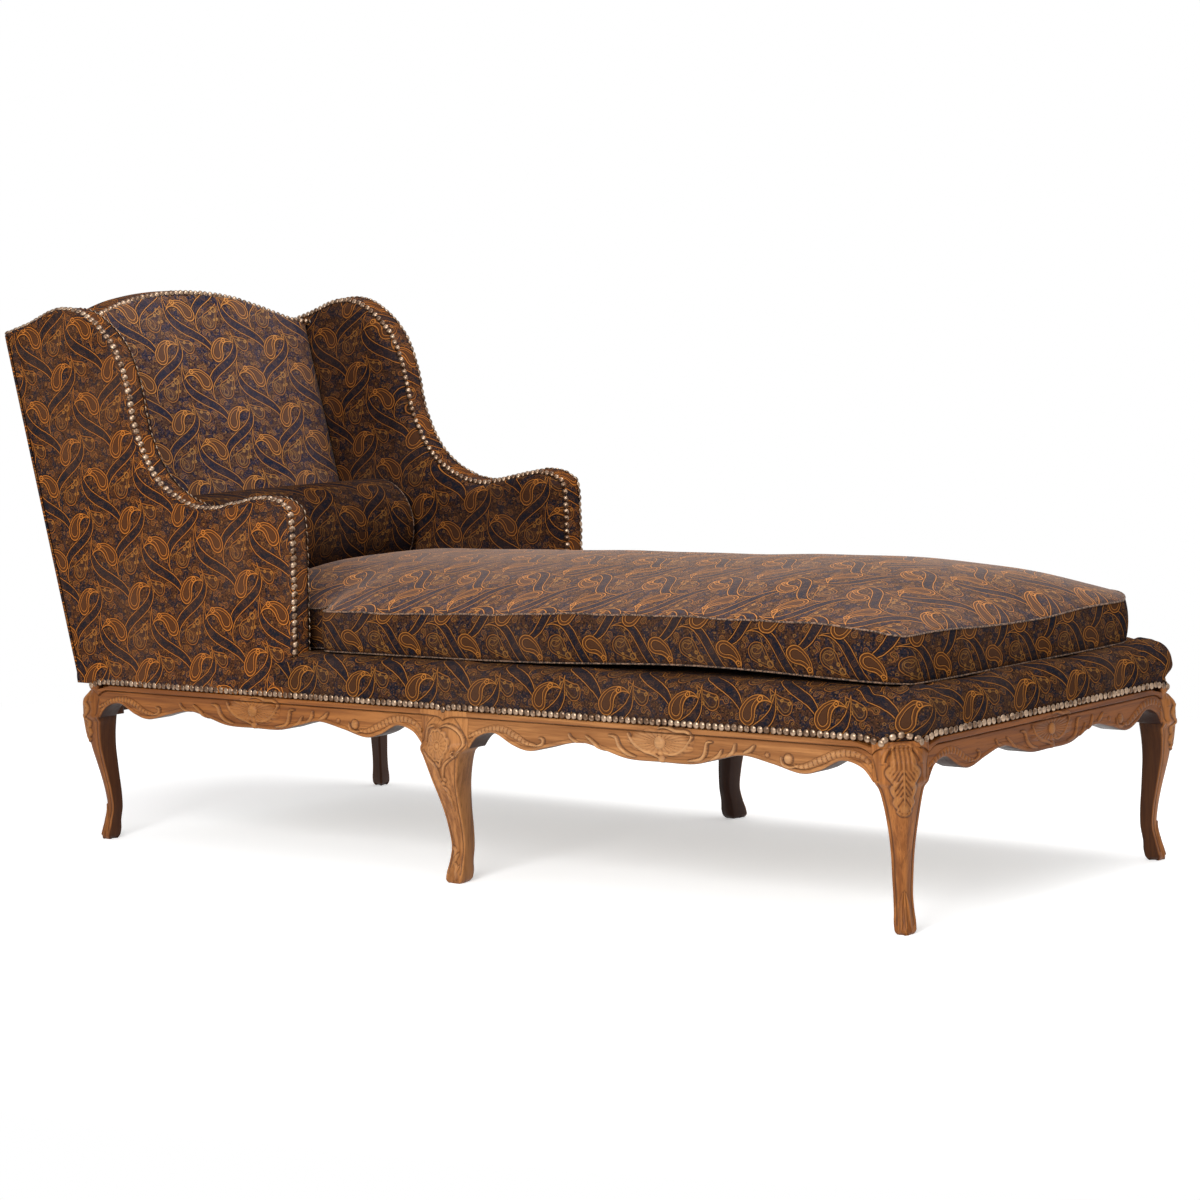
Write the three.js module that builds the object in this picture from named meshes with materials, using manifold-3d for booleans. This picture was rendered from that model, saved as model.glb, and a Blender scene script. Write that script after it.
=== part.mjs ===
// A winged chaise longue: a carved show-wood seat frame on six cabriole legs, a raked and winged
// back, a padded deck, a loose T-shaped cushion and a loose bolster.
// Millimetres, +Z up, +X towards the foot end, the near long side at -Y.

import * as THREE from 'three';
import { mergeVertices } from 'three/addons/utils/BufferGeometryUtils.js';
import Module from 'manifold-3d';

const wasm = await Module();
wasm.setup();

// Seat frame, over the outer faces of the show wood
const frameLength = 1915;
const frameWidth = 800;
const cornerCut = 45;
const railTop = 345;
const showTop = 298;
const apronLow = 240;
const apronWave = 21;
const railThickness = 44;
const rebateDepth = 15;
const beadHeight = 10;
const beadProud = 3;
const dipDepth = 8;
const dipLength = 34;
const fit = 0.3;

// Cabriole legs
const kneeHeight = 250;
const kneeDepth = 60;
const cornerKneeWidth = 86;
const middleKneeWidth = 108;
const ankleWidth = 31;
const ankleDepth = 29;
const cornerBlock = 62;
const cornerSetback = 16;
const cornerSweep = 32;
const middleSetback = 24;
const middleSweep = 38;
const blockLap = 12;
const earDrop = 8;

// Inner seat frame
const crossRailWidth = 44;
const crossRailHeight = 66;
const braceReach = 70;
const braceHeight = 50;
const webWidth = 76;
const webThickness = 2;
const webSpanInset = 70;
const webLap = 26;
const hessianThickness = 0.8;

// Back
const nailLine = 305;
const backRake = THREE.MathUtils.degToRad(13.9);
const crestRise = 28;
const valleyDrop = 41;
const backThickness = 76;
const backTimber = 38;
const crestRailHeight = 70;
const lowerRailHeight = 60;
const lowerRailFoot = 400;
const backCrown = 20;
const coverThickness = 5;
const bandThickness = 6;

// Wings and arms
const wingHeight = 1002;
const wingThickness = 42;
const sideTimber = 30;
const armLength = 588;
const armRailHeight = 45;
const armPostWidth = 45;
const wingRailFoot = 60;
const padCrown = 28;
const padEdge = 5;

// Deck, cushion and bolster
const deckTop = 375;
const deckRecess = 1;
const rollRadius = 34;
const cushionHeight = 84;
const cushionCrown = 67;
const cushionWidth = 696;
const cushionFoot = 40;
const cushionHead = 58;
const cushionRadius = 28;
const headSink = 12;
const footRound = 340;
const seamInset = 5;
const earGap = 22;
const drawIn = 6;
const bolsterRadius = 95;
const bolsterGap = 22;
const bolsterPlace = 134;
const thinSpan = 119;
const crownLean = 0.12;
const softGap = 5;
const domePower = 2.2;
const domeEase = 0.75;

const halfLength = frameLength / 2;
const halfWidth = frameWidth / 2;
const sidePlane = halfWidth - rebateDepth + fit + coverThickness;
const innerPlane = sidePlane - wingThickness;
const wingRise = wingHeight - nailLine;
const crestHeight = wingHeight + crestRise;
const valleyHeight = wingHeight - valleyDrop;
const armRailShare = 0.36;
const armRailFoot = nailLine + armRailShare * wingRise;
const armFront = armLength - halfLength;
const webTop = railTop + fit + webThickness;
const hessianTop = webTop + fit + hessianThickness;
const padFoot = hessianTop + fit;

const wood = new THREE.MeshStandardMaterial({ color: 0xa9703f, roughness: 0.5, metalness: 0 });
const plainWood = new THREE.MeshStandardMaterial({ color: 0x8a6240, roughness: 0.7, metalness: 0 });
const velvet = new THREE.MeshStandardMaterial({ color: 0x5a4136, roughness: 0.95, metalness: 0 });
const cloth = new THREE.MeshStandardMaterial({ color: 0xb9a27c, roughness: 1, metalness: 0 });

const couch = new THREE.Group();

// Geometry helpers

function closedGeometry(positions, indices) {
  const geometry = new THREE.BufferGeometry();
  geometry.setAttribute('position', new THREE.Float32BufferAttribute(positions, 3));
  geometry.setIndex(indices);
  return outward(geometry);
}

// Turns the faces the right way round if the enclosed volume comes out negative.
function outward(geometry) {
  const { position } = geometry.attributes;
  const index = Array.from(geometry.index.array);
  const a = new THREE.Vector3();
  const b = new THREE.Vector3();
  const c = new THREE.Vector3();
  let volume = 0;
  for (let i = 0; i < index.length; i += 3) {
    a.fromBufferAttribute(position, index[i]);
    b.fromBufferAttribute(position, index[i + 1]);
    c.fromBufferAttribute(position, index[i + 2]);
    volume += a.dot(b.cross(c));
  }
  if (volume < 0) geometry.setIndex(index.reverse());
  return geometry;
}

function welded(geometry) {
  const bare = geometry.clone();
  bare.deleteAttribute('normal');
  bare.deleteAttribute('uv');
  return outward(mergeVertices(bare, 1e-3));
}

function solidOf(geometry) {
  const { position } = geometry.attributes;
  return new wasm.Manifold(new wasm.Mesh({
    numProp: 3,
    vertProperties: new Float32Array(position.array),
    triVerts: new Uint32Array(geometry.index.array),
  }));
}

function geometryOf(solid) {
  const { vertProperties, triVerts } = solid.getMesh();
  return closedGeometry(Array.from(vertProperties), Array.from(triVerts));
}

function joined(...geometries) {
  return geometryOf(geometries.map(solidOf).reduce((whole, next) => whole.add(next)));
}

function cut(geometry, ...cutters) {
  return geometryOf(cutters.map(solidOf).reduce((whole, next) => whole.subtract(next), solidOf(geometry)));
}

function box(low, high) {
  const size = high.map((value, axis) => value - low[axis]);
  const centre = high.map((value, axis) => (value + low[axis]) / 2);
  return welded(new THREE.BoxGeometry(...size).translate(...centre));
}

function extruded(points, depth) {
  return new THREE.ExtrudeGeometry(new THREE.Shape(points), { depth, bevelEnabled: false });
}

// A plan outline (x, y), raised from one height to another.
function planPrism(points, bottom, top) {
  return welded(extruded(points, top - bottom).translate(0, 0, bottom));
}

// A side outline (x, z), thick from one y to another.
function sidePrism(points, fromY, toY) {
  return welded(extruded(points, toY - fromY).rotateX(Math.PI / 2).translate(0, toY, 0));
}

// An end outline (y, z), thick from one x to another.
function endPrism(points, fromX, toX) {
  const turn = new THREE.Matrix4().makeBasis(
    new THREE.Vector3(0, 1, 0),
    new THREE.Vector3(0, 0, 1),
    new THREE.Vector3(1, 0, 0),
  );
  return welded(extruded(points, toX - fromX).applyMatrix4(turn).translate(fromX, 0, 0));
}

// Skins a stack of rings with the same number of points and closes both ends with fans, whose hubs
// are the rings' own middles if none are given.
function loft(rings, hubs = rings.map((ring) => (
  ring.reduce((sum, point) => sum.add(point), new THREE.Vector3()).divideScalar(ring.length)
))) {
  const count = rings[0].length;
  const positions = rings.flat().flatMap((point) => point.toArray());
  const indices = [];
  for (let ring = 0; ring + 1 < rings.length; ring += 1) {
    for (let i = 0; i < count; i += 1) {
      const here = ring * count + i;
      const next = ring * count + ((i + 1) % count);
      indices.push(here, next, here + count, next, next + count, here + count);
    }
  }
  [0, rings.length - 1].forEach((ring) => {
    positions.push(...hubs[ring].toArray());
    const hub = positions.length / 3 - 1;
    for (let i = 0; i < count; i += 1) {
      const here = ring * count + i;
      const next = ring * count + ((i + 1) % count);
      if (ring === 0) indices.push(next, here, hub);
      else indices.push(here, next, hub);
    }
  });
  return closedGeometry(positions, indices);
}

function curveThrough(points, divisions) {
  return new THREE.SplineCurve(points.map(([x, y]) => new THREE.Vector2(x, y))).getPoints(divisions);
}

function outlineNormal(points, i, closed) {
  const last = points.length - 1;
  const before = points[i > 0 ? i - 1 : (closed ? last : 0)];
  const after = points[i < last ? i + 1 : (closed ? 0 : last)];
  const along = after.clone().sub(before).normalize();
  return new THREE.Vector2(-along.y, along.x);
}

// Moves an outline to its left-hand side by a distance.
function inset(points, distance, closed = true) {
  return points.map((point, i) => point.clone().addScaledVector(outlineNormal(points, i, closed), distance));
}

// A closed outline with rounded corners, whose long edges are drawn in between the corners.
function softOutline(corners, radius, pull, step) {
  const points = [];
  corners.forEach((corner, i) => {
    const before = corners[(i + corners.length - 1) % corners.length];
    const after = corners[(i + 1) % corners.length];
    const back = before.clone().sub(corner).setLength(radius).add(corner);
    const on = after.clone().sub(corner).setLength(radius).add(corner);
    const turn = new THREE.QuadraticBezierCurve(back, corner, on);
    points.push(...turn.getPoints(3));
    const end = corner.clone().sub(after).setLength(radius).add(after);
    const length = on.distanceTo(end);
    const steps = Math.max(1, Math.round(length / step));
    const inward = outlineNormal([on, end], 0, false);
    const depth = pull * Math.min(1, length / (step * 4));
    for (let k = 1; k < steps; k += 1) {
      const share = k / steps;
      const point = on.clone().lerp(end, share);
      points.push(point.addScaledVector(inward, depth * 4 * share * (1 - share)));
    }
  });
  return points;
}

// A stuffed form: each ring is the outline moved in by a distance or shrunk to a share about a
// centre, at a height; place() puts the flat point and its height in space.
function stuffed(outline, centre, rings, place) {
  const placed = (flat, height) => (
    place(flat.x, flat.y, typeof height === 'function' ? height(flat.x, flat.y) : height)
  );
  const skins = rings.map(({ moved = 0, share = 1, height }) => (
    inset(outline, moved).map((point) => placed(point.lerp(centre, 1 - share), height))
  ));
  return loft(skins, rings.map(({ height }) => placed(centre, height)));
}

// Where a stuffed form's rings lie, as shares of its outline
const baseShare = 0.5;
const padRingShares = [0.94, 0.84, 0.68, 0.5, 0.3];
const underShares = [0.5, 0.9];
const crownShares = [0.97, 0.92, 0.84, 0.72, 0.58, 0.42, 0.26, 0.1];

// How full a cushion is between its edges, where both shares across it are 1.
function dome(across, along) {
  const fall = (share) => 1 - Math.min(1, Math.abs(share)) ** domePower;
  return (fall(across) * fall(along)) ** domeEase;
}

function mesh(name, geometry, material) {
  const part = new THREE.Mesh(geometry, material);
  part.name = name;
  couch.add(part);
  return part;
}

const sides = [['near', -1], ['far', 1]];

// Show-wood rails: the outer face lies at y = 0, the rail runs along x about its own centre

// Half of the wavy lower edge, from the centre of the bay to its end: along, up
const apronShares = [
  [0, 0], [0.08, 0.03], [0.14, 0.55], [0.2, 1], [0.27, 0.55], [0.335, 0], [0.38, 0.35], [0.43, 1.2],
  [0.475, 0.8], [0.5, -0.2],
];

function apronEdge(length) {
  const half = apronShares.map(([along, up]) => [along * length, apronLow + up * apronWave]);
  const mirrored = half.slice(1).reverse().map(([x, z]) => [-x, z]);
  return curveThrough([...mirrored, ...half], 48);
}

function railGeometry(length, edge) {
  const end = length / 2;
  const level = end - dipLength;
  const corner = (x, z) => new THREE.Vector2(x, z);
  const top = [corner(end, showTop - dipDepth), corner(level, showTop), corner(-level, showTop),
    corner(-end, showTop - dipDepth)];
  const beadFoot = top.map((point) => corner(point.x, point.y - beadHeight)).reverse();
  const face = sidePrism([...edge, ...top], -railThickness, -beadProud);
  const bead = sidePrism([...beadFoot, ...top], -railThickness, 0);
  const upper = box([-end, -railThickness, showTop - 2 * dipDepth], [end, -rebateDepth, railTop]);
  return joined(face, bead, upper);
}

const middleBlock = middleKneeWidth / 2;
const bayStart = middleBlock + fit;
const bayEnd = halfLength - cornerBlock - fit;
const bayLength = bayEnd - bayStart;
const endRailLength = frameWidth - 2 * (cornerBlock + fit);
const sideRail = railGeometry(bayLength, apronEdge(bayLength));
const footRail = railGeometry(endRailLength, apronEdge(endRailLength));
const plainEdge = [-1, 1].map((way) => new THREE.Vector2(way * endRailLength / 2, apronLow));
const headRail = railGeometry(endRailLength, plainEdge);

sides.forEach(([side, sign]) => {
  [['head', -1], ['foot', 1]].forEach(([bay, way]) => {
    const rail = mesh(`rail_${bay}_${side}`, sideRail, wood);
    rail.rotation.z = sign < 0 ? Math.PI : 0;
    rail.position.set(way * (bayStart + bayLength / 2), sign * halfWidth, 0);
  });
});
const footRailMesh = mesh('foot_rail', footRail, wood);
footRailMesh.rotation.z = -Math.PI / 2;
footRailMesh.position.x = halfLength;
const headRailMesh = mesh('head_rail', headRail, wood);
headRailMesh.rotation.z = Math.PI / 2;
headRailMesh.position.x = -halfLength;

// Cabriole legs: +X points outward from the seat, the block's outer corner or face lies at x = 0

// Up the leg to the knee: height, how far forward, width and depth between ankle and knee
const legShares = [
  [0, 0.49, 0.04, 0.2], [0.07, 0.34, 0.07, 0.18], [0.14, 0.18, 0.02, 0.04], [0.24, 0.02, 0, 0],
  [0.36, 0.11, 0.04, 0.08], [0.48, 0.3, 0.09, 0.2], [0.6, 0.54, 0.19, 0.38], [0.7, 0.74, 0.32, 0.54],
  [0.8, 0.88, 0.48, 0.7], [0.88, 0.96, 0.64, 0.84], [0.94, 1, 0.84, 0.94], [1, 1, 1, 1],
  [1.08, 0.97, 1, 1], [1.19, 0.62, 0.9, 0.9],
];
const legCornerShare = 0.2;
const legBulgeShare = 0.05;
const legBackShare = 0.72;

function legRing(front, width, depth, height) {
  const half = width / 2;
  const round = legCornerShare * Math.min(width, depth);
  const middle = front - depth / 2;
  const back = front - depth;
  const narrow = half * legBackShare;
  return [
    [front, round - half], [front + width * legBulgeShare, 0], [front, half - round],
    [front - round, half], [middle, half], [back + round, (half + narrow) / 2], [back, narrow - round / 2],
    [back, round / 2 - narrow], [back + round, -(half + narrow) / 2], [middle, -half], [front - round, -half],
  ].map(([x, y]) => new THREE.Vector3(x, y, height));
}

function legLoft(face, setback, sweep, kneeWidth) {
  return loft(legShares.map(([up, forward, wide, deep]) => legRing(
    face - setback + sweep * forward,
    ankleWidth + (kneeWidth - ankleWidth) * wide,
    ankleDepth + (kneeDepth - ankleDepth) * deep,
    kneeHeight * up,
  )));
}

// The corner leg is drawn with its block in a square corner and then turned to face outward.
function cornerLegGeometry() {
  const eighth = Math.PI / 4;
  const corner = new THREE.Vector2();
  const plan = (points) => points.map(([x, y]) => new THREE.Vector2(-x, -y).rotateAround(corner, -eighth));
  const cutInside = cornerCut + rebateDepth * (Math.SQRT2 - 1);
  const low = [[0, cornerCut], [0, cornerBlock], [cornerBlock, cornerBlock], [cornerBlock, 0],
    [cornerCut, 0]];
  const high = [[rebateDepth, cutInside], [rebateDepth, cornerBlock], [cornerBlock, cornerBlock],
    [cornerBlock, rebateDepth], [cutInside, rebateDepth]];
  const knee = legLoft(-cornerCut / Math.SQRT2, cornerSetback, cornerSweep, cornerKneeWidth);
  const reach = 2 * cornerBlock;
  const seat = (from, to) => planPrism(
    plan([[from[0], from[1]], [to[0], from[1]], [to[0], to[1]], [from[0], to[1]]]),
    apronLow - earDrop,
    railTop,
  );
  const trimmed = cut(
    knee,
    seat([cornerBlock, -reach], [reach, reach]),
    seat([-reach, cornerBlock], [reach, reach]),
  );
  return joined(
    trimmed,
    planPrism(plan(low), kneeHeight - blockLap, showTop),
    planPrism(plan(high), showTop - blockLap, railTop),
  );
}

function middleLegGeometry() {
  const behind = box(
    [-2 * railThickness, -middleKneeWidth, apronLow],
    [-railThickness, middleKneeWidth, railTop],
  );
  const knee = cut(legLoft(0, middleSetback, middleSweep, middleKneeWidth), behind);
  const low = box([-railThickness, -middleBlock, kneeHeight - blockLap], [0, middleBlock, showTop]);
  const high = box([-railThickness, -middleBlock, showTop - blockLap], [-rebateDepth, middleBlock, railTop]);
  return joined(knee, low, high);
}

const cornerLeg = cornerLegGeometry();
const middleLeg = middleLegGeometry();

sides.forEach(([side, sign]) => {
  [['head', -1], ['foot', 1]].forEach(([end, way]) => {
    const leg = mesh(`leg_${end}_${side}`, cornerLeg, wood);
    leg.rotation.z = Math.atan2(sign, way);
    leg.position.set(way * halfLength, sign * halfWidth, 0);
  });
  const leg = mesh(`leg_middle_${side}`, middleLeg, wood);
  leg.rotation.z = sign * (Math.PI / 2);
  leg.position.y = sign * halfWidth;
});

// Inner seat frame: cross rail, corner blocks, webbing and hessian

const railInner = halfWidth - railThickness - fit;
const crossTop = railTop - webThickness;
mesh('cross_rail', box(
  [-crossRailWidth / 2, -railInner, crossTop - crossRailHeight],
  [crossRailWidth / 2, railInner, crossTop],
), plainWood);

const braceNear = railThickness + fit;
const braceStart = cornerBlock + fit;
const braceEnd = cornerBlock + braceReach;
const bracePlan = [
  [braceStart, braceNear], [braceEnd, braceNear], [braceNear, braceEnd], [braceNear, braceStart],
  [braceStart, braceStart],
];
sides.forEach(([side, sign]) => {
  [['head', -1], ['foot', 1]].forEach(([end, way]) => {
    const points = bracePlan.map(([x, y]) => (
      new THREE.Vector2(way * (halfLength - x), sign * (halfWidth - y))
    ));
    const brace = planPrism(points, railTop - webThickness - braceHeight, railTop - webThickness);
    mesh(`corner_block_${end}_${side}`, brace, plainWood);
  });
});

const armPostFront = armFront - bandThickness;
const timberInner = innerPlane + padEdge + fit;
const timberOuter = timberInner + sideTimber;

// Webs stretched both ways and tacked where they cross, as one lattice: how far the webs reach,
// how far out the outermost ones lie, and how many there are.
function lattice([reachX, reachY], [spreadX, spreadY], [alongCount, acrossCount]) {
  const places = (half, count) => Array.from({ length: count }, (_, i) => (
    THREE.MathUtils.lerp(webWidth / 2 - half, half - webWidth / 2, i / (count - 1))
  ));
  const along = places(spreadY, alongCount).map((y) => box(
    [-reachX, y - webWidth / 2, 0],
    [reachX, y + webWidth / 2, webThickness],
  ));
  const across = places(spreadX, acrossCount).map((x) => box(
    [x - webWidth / 2, -reachY, 0],
    [x + webWidth / 2, reachY, webThickness],
  ));
  return joined(...along, ...across);
}

const webLength = halfLength - railThickness + webLap / 2;
const webSpread = halfLength - railThickness - webSpanInset;
const webAcross = railInner + webLap / 2;
const seatWebs = lattice([webLength, webAcross], [webSpread, railInner - webLap], [5, 10]);
seatWebs.translate(0, 0, railTop + fit);
const postClear = 2 * fit;
const postInner = timberInner - postClear;
const footprints = [-1, 1].map((sign) => box(
  [armPostFront - armPostWidth - postClear, Math.min(sign * postInner, sign * halfWidth), railTop],
  [armPostFront + postClear, Math.max(sign * postInner, sign * halfWidth), railTop + webWidth],
));
const webLayer = cut(seatWebs, ...footprints);
mesh('seat_webbing', webLayer, cloth);

const hessianHalfLength = webLength - webLap / 2;
mesh('seat_hessian', box(
  [-hessianHalfLength, -postInner, webTop + fit],
  [hessianHalfLength, postInner, hessianTop],
), cloth);

// Back: every part is drawn upright and then leans back in proportion to its height

const rearAt = (z) => -halfLength - Math.tan(backRake) * (z - nailLine);
const leanMatrix = new THREE.Matrix4().makeShear(0, 0, 0, 0, -Math.tan(backRake), 0);

function leaned(geometry) {
  return geometry.translate(0, 0, -nailLine).applyMatrix4(leanMatrix).translate(-halfLength, 0, nailLine);
}

// Half of the back's serpentine top, from its centre to the wing: across, up
const crestShares = [
  [0, 1], [0.14, 0.97], [0.28, 0.89], [0.42, 0.76], [0.56, 0.55], [0.7, 0.31], [0.85, 0.08], [1, 0],
];

const crestCurve = new THREE.CubicInterpolant(
  crestShares.map(([across]) => across),
  crestShares.map(([, up]) => up),
  1,
);

// The back's top edge between two sides: serpentine between the wings, level under them.
function crestLine(halfSpan, lowered, divisions = 40) {
  const curved = Math.min(halfSpan, innerPlane);
  const line = Array.from({ length: divisions + 1 }, (_, i) => {
    const y = curved * (2 * i / divisions - 1);
    const up = crestCurve.evaluate(Math.abs(y) / innerPlane)[0];
    return new THREE.Vector2(y, valleyHeight + up * (crestHeight - valleyHeight) - lowered);
  });
  if (halfSpan > innerPlane) {
    line.unshift(new THREE.Vector2(-halfSpan, line[0].y));
    line.push(new THREE.Vector2(halfSpan, line[line.length - 1].y));
  }
  return line;
}

// Outline under the crest line, down to a level foot
function backOutline(halfSpan, lowered, foot, divisions) {
  const top = crestLine(halfSpan, lowered, divisions);
  return [new THREE.Vector2(-halfSpan, foot), new THREE.Vector2(halfSpan, foot), ...top.reverse()];
}

const backFace = coverThickness + fit;
const backFront = backFace + backTimber;
const postTop = valleyHeight - bandThickness - 2 * fit;

sides.forEach(([side, sign]) => {
  const foot = railTop + fit;
  const outline = [
    [rearAt(foot) + backFace, foot], [rearAt(foot) + backFront, foot],
    [rearAt(postTop) + backFront, postTop], [rearAt(postTop) + backFace, postTop],
  ].map(([x, z]) => new THREE.Vector2(x, z));
  const low = Math.min(sign * timberInner, sign * timberOuter);
  mesh(`back_post_${side}`, sidePrism(outline, low, low + sideTimber), plainWood);
});

const betweenPosts = timberInner - fit;
const crestTop = crestLine(betweenPosts, bandThickness + fit);
const crestFoot = crestLine(betweenPosts, crestRailHeight, 24).reverse();
mesh('crest_rail', leaned(endPrism([...crestFoot, ...crestTop], backFace, backFront)), plainWood);
mesh('lower_back_rail', leaned(box(
  [backFace, -betweenPosts, lowerRailFoot],
  [backFront, betweenPosts, lowerRailFoot + lowerRailHeight],
)), plainWood);

const backWebFoot = lowerRailFoot + fit;
const backWebTop = valleyHeight - webLap;
const backWebReach = [(backWebTop - backWebFoot) / 2, betweenPosts - webLap];
const backWebs = lattice(backWebReach, backWebReach, [4, 4]);
const uprightTurn = new THREE.Matrix4().makeBasis(
  new THREE.Vector3(0, 0, 1),
  new THREE.Vector3(0, 1, 0),
  new THREE.Vector3(-1, 0, 0),
);
backWebs.applyMatrix4(uprightTurn);
backWebs.translate(backFront + fit + webThickness, 0, (backWebFoot + backWebTop) / 2);
mesh('back_webbing', leaned(outward(backWebs)), cloth);

const backHessian = backFront + webThickness + 2 * fit;
mesh('back_hessian', leaned(box(
  [backHessian, webLap - betweenPosts, backWebFoot],
  [backHessian + hessianThickness, betweenPosts - webLap, backWebTop],
)), cloth);

mesh('outside_back', leaned(endPrism(
  backOutline(sidePlane, bandThickness + fit, nailLine - coverThickness, 48),
  0,
  coverThickness,
)), velvet);

const padInner = innerPlane - padCrown;
const backPadHalf = padInner - fit;
const crestBand = endPrism(
  [...crestLine(innerPlane - fit, bandThickness), ...crestLine(innerPlane - fit, 0).reverse()].reverse(),
  0,
  backThickness,
);
const wingPadRoom = (sign) => box(
  [backFront, Math.min(sign * backPadHalf, sign * halfWidth), 0],
  [frameLength, Math.max(sign * backPadHalf, sign * halfWidth), crestHeight],
);
mesh('crest_band', leaned(cut(crestBand, wingPadRoom(-1), wingPadRoom(1))), velvet);

const backPadBase = backHessian + hessianThickness + fit;
const backPadEdge = backThickness - backPadBase;
const backPadOutline = backOutline(backPadHalf, bandThickness + 2 * fit, padFoot, 40);
const backPadMiddle = (padFoot + valleyHeight) / 2;
const backPadReach = valleyHeight - backPadMiddle;
const backPadCentre = new THREE.Vector2(0, backPadMiddle);
const backPadHeight = (y, z) => (
  backPadEdge + backCrown * dome(y / backPadHalf, (z - backPadMiddle) / backPadReach)
);
const backPadRings = [
  { share: baseShare, height: 0 }, { height: 0 }, { height: backPadEdge - padEdge },
  { moved: padEdge, height: backPadEdge },
  ...padRingShares.map((share) => ({ share, height: backPadHeight })),
];
mesh('back_pad', leaned(stuffed(backPadOutline, backPadCentre, backPadRings, (y, z, out) => (
  new THREE.Vector3(backPadBase + out, y, z)
))), velvet);

// Wings and arms

// Top edge of wing and arm, from the head end: along the arm's length, up the wing's rise
const wingShares = [
  [-0.16, 0.966], [-0.017, 1], [0.112, 0.983], [0.235, 0.902], [0.294, 0.799], [0.332, 0.664],
  [0.412, 0.552], [0.524, 0.492], [0.639, 0.471], [0.777, 0.488], [0.893, 0.501], [0.979, 0.484],
  [1.012, 0.423], [1, 0.1],
];
const valleyShare = 0.524;
const wingRailShare = 0.84;
const padCentreShare = 0.28;

function wingLine(lowered) {
  const start = [rearAt(valleyHeight), valleyHeight];
  const places = wingShares.map(([along, up]) => [along * armLength - halfLength, nailLine + up * wingRise]);
  const line = curveThrough([start, ...places], 52);
  return inset(line, -lowered, false);
}

// Starts a wing line at the back cover's plane, or at a plane ahead of it.
function aheadOf(line, forward) {
  const ahead = (point) => point.x - rearAt(point.y) - forward;
  const first = line.findIndex((point) => ahead(point) > 0);
  const start = line[0].clone().setX(rearAt(line[0].y) + forward);
  if (first === 0) return [start, ...line];
  const [out, within] = [line[first - 1], line[first]];
  const crossing = out.clone().lerp(within, ahead(out) / (ahead(out) - ahead(within)));
  return [crossing, ...line.slice(first)];
}

const footOf = (line, foot) => line.filter((point) => point.y > foot + padEdge);

function sideOutline(lowered, forward, foot) {
  const line = footOf(aheadOf(wingLine(lowered), forward), foot);
  const front = line[line.length - 1].x;
  return [...line, new THREE.Vector2(front, foot), new THREE.Vector2(rearAt(foot) + forward, foot)];
}

const valleyX = valleyShare * armLength - halfLength;
const armRailTop = armRailFoot + armRailHeight;
const timberLine = wingLine(bandThickness + fit);
const postFront = (z) => rearAt(z) + backFront + fit;

const armRailOutline = [
  new THREE.Vector2(postFront(armRailFoot), armRailFoot),
  new THREE.Vector2(postFront(armRailTop), armRailTop),
  new THREE.Vector2(valleyX, armRailTop),
  ...timberLine.filter((point) => point.x > valleyX && point.y > armRailFoot),
];
armRailOutline.push(new THREE.Vector2(armRailOutline[armRailOutline.length - 1].x, armRailFoot));

const wingHub = new THREE.Vector2(postFront(armRailTop) + wingRailFoot * 2, armRailTop);
const wingOuter = aheadOf(timberLine, backFront + fit).filter((point) => point.x < valleyX - fit);
const wingInner = wingOuter.map((point) => point.clone().lerp(wingHub, 1 - wingRailShare));
const wingInnerKept = wingInner.filter((point) => (
  point.x > postFront(point.y) && point.y > armRailTop + 2 * padEdge
));
const wingRailOutline = [
  ...wingOuter,
  new THREE.Vector2(valleyX - fit, armRailTop + fit),
  new THREE.Vector2(valleyX - fit - wingRailFoot, armRailTop + fit),
  ...wingInnerKept.reverse(),
];
const wingTail = wingRailOutline[wingRailOutline.length - 1];
wingRailOutline.push(new THREE.Vector2(postFront(wingTail.y), wingTail.y));

const bandOutline = [
  ...aheadOf(wingLine(0), 0),
  ...aheadOf(wingLine(bandThickness), 0).reverse(),
];
const coverOutline = sideOutline(bandThickness + fit, coverThickness + fit, nailLine - coverThickness);
const padOutline = sideOutline(bandThickness + fit, backFront + fit, padFoot);
const padCentre = new THREE.Vector2(-halfLength + armLength * padCentreShare, armRailFoot);
const padRings = [
  { share: baseShare, height: 0 }, { height: 0 }, { height: padEdge },
  ...padRingShares.map((share) => ({ share, height: padEdge + padCrown * Math.sqrt(1 - share ** 4) })),
];

sides.forEach(([side, sign]) => {
  const across = (outline, inner, outer) => {
    const low = Math.min(sign * inner, sign * outer);
    return sidePrism(outline, low, low + outer - inner);
  };
  const post = [
    [armPostFront - armPostWidth, railTop + fit], [armPostFront, railTop + fit],
    [armPostFront, armRailFoot - fit], [armPostFront - armPostWidth, armRailFoot - fit],
  ].map(([x, z]) => new THREE.Vector2(x, z));
  mesh(`arm_post_${side}`, across(post, timberInner, timberOuter), plainWood);
  mesh(`arm_rail_${side}`, across(armRailOutline, timberInner, timberOuter), plainWood);
  mesh(`wing_rail_${side}`, across(wingRailOutline, timberInner, timberOuter), plainWood);
  mesh(`side_cover_${side}`, across(coverOutline, sidePlane - coverThickness, sidePlane), velvet);
  mesh(`edge_band_${side}`, across(bandOutline, innerPlane, sidePlane), velvet);
  const pad = stuffed(padOutline, padCentre, padRings, (x, z, out) => (
    new THREE.Vector3(x, sign * (innerPlane + padEdge - out), z)
  ));
  mesh(`wing_pad_${side}`, pad, velvet);
});

// Deck: a padded lid over the rails with a rolled edge, and a tongue running back between the arms

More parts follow.
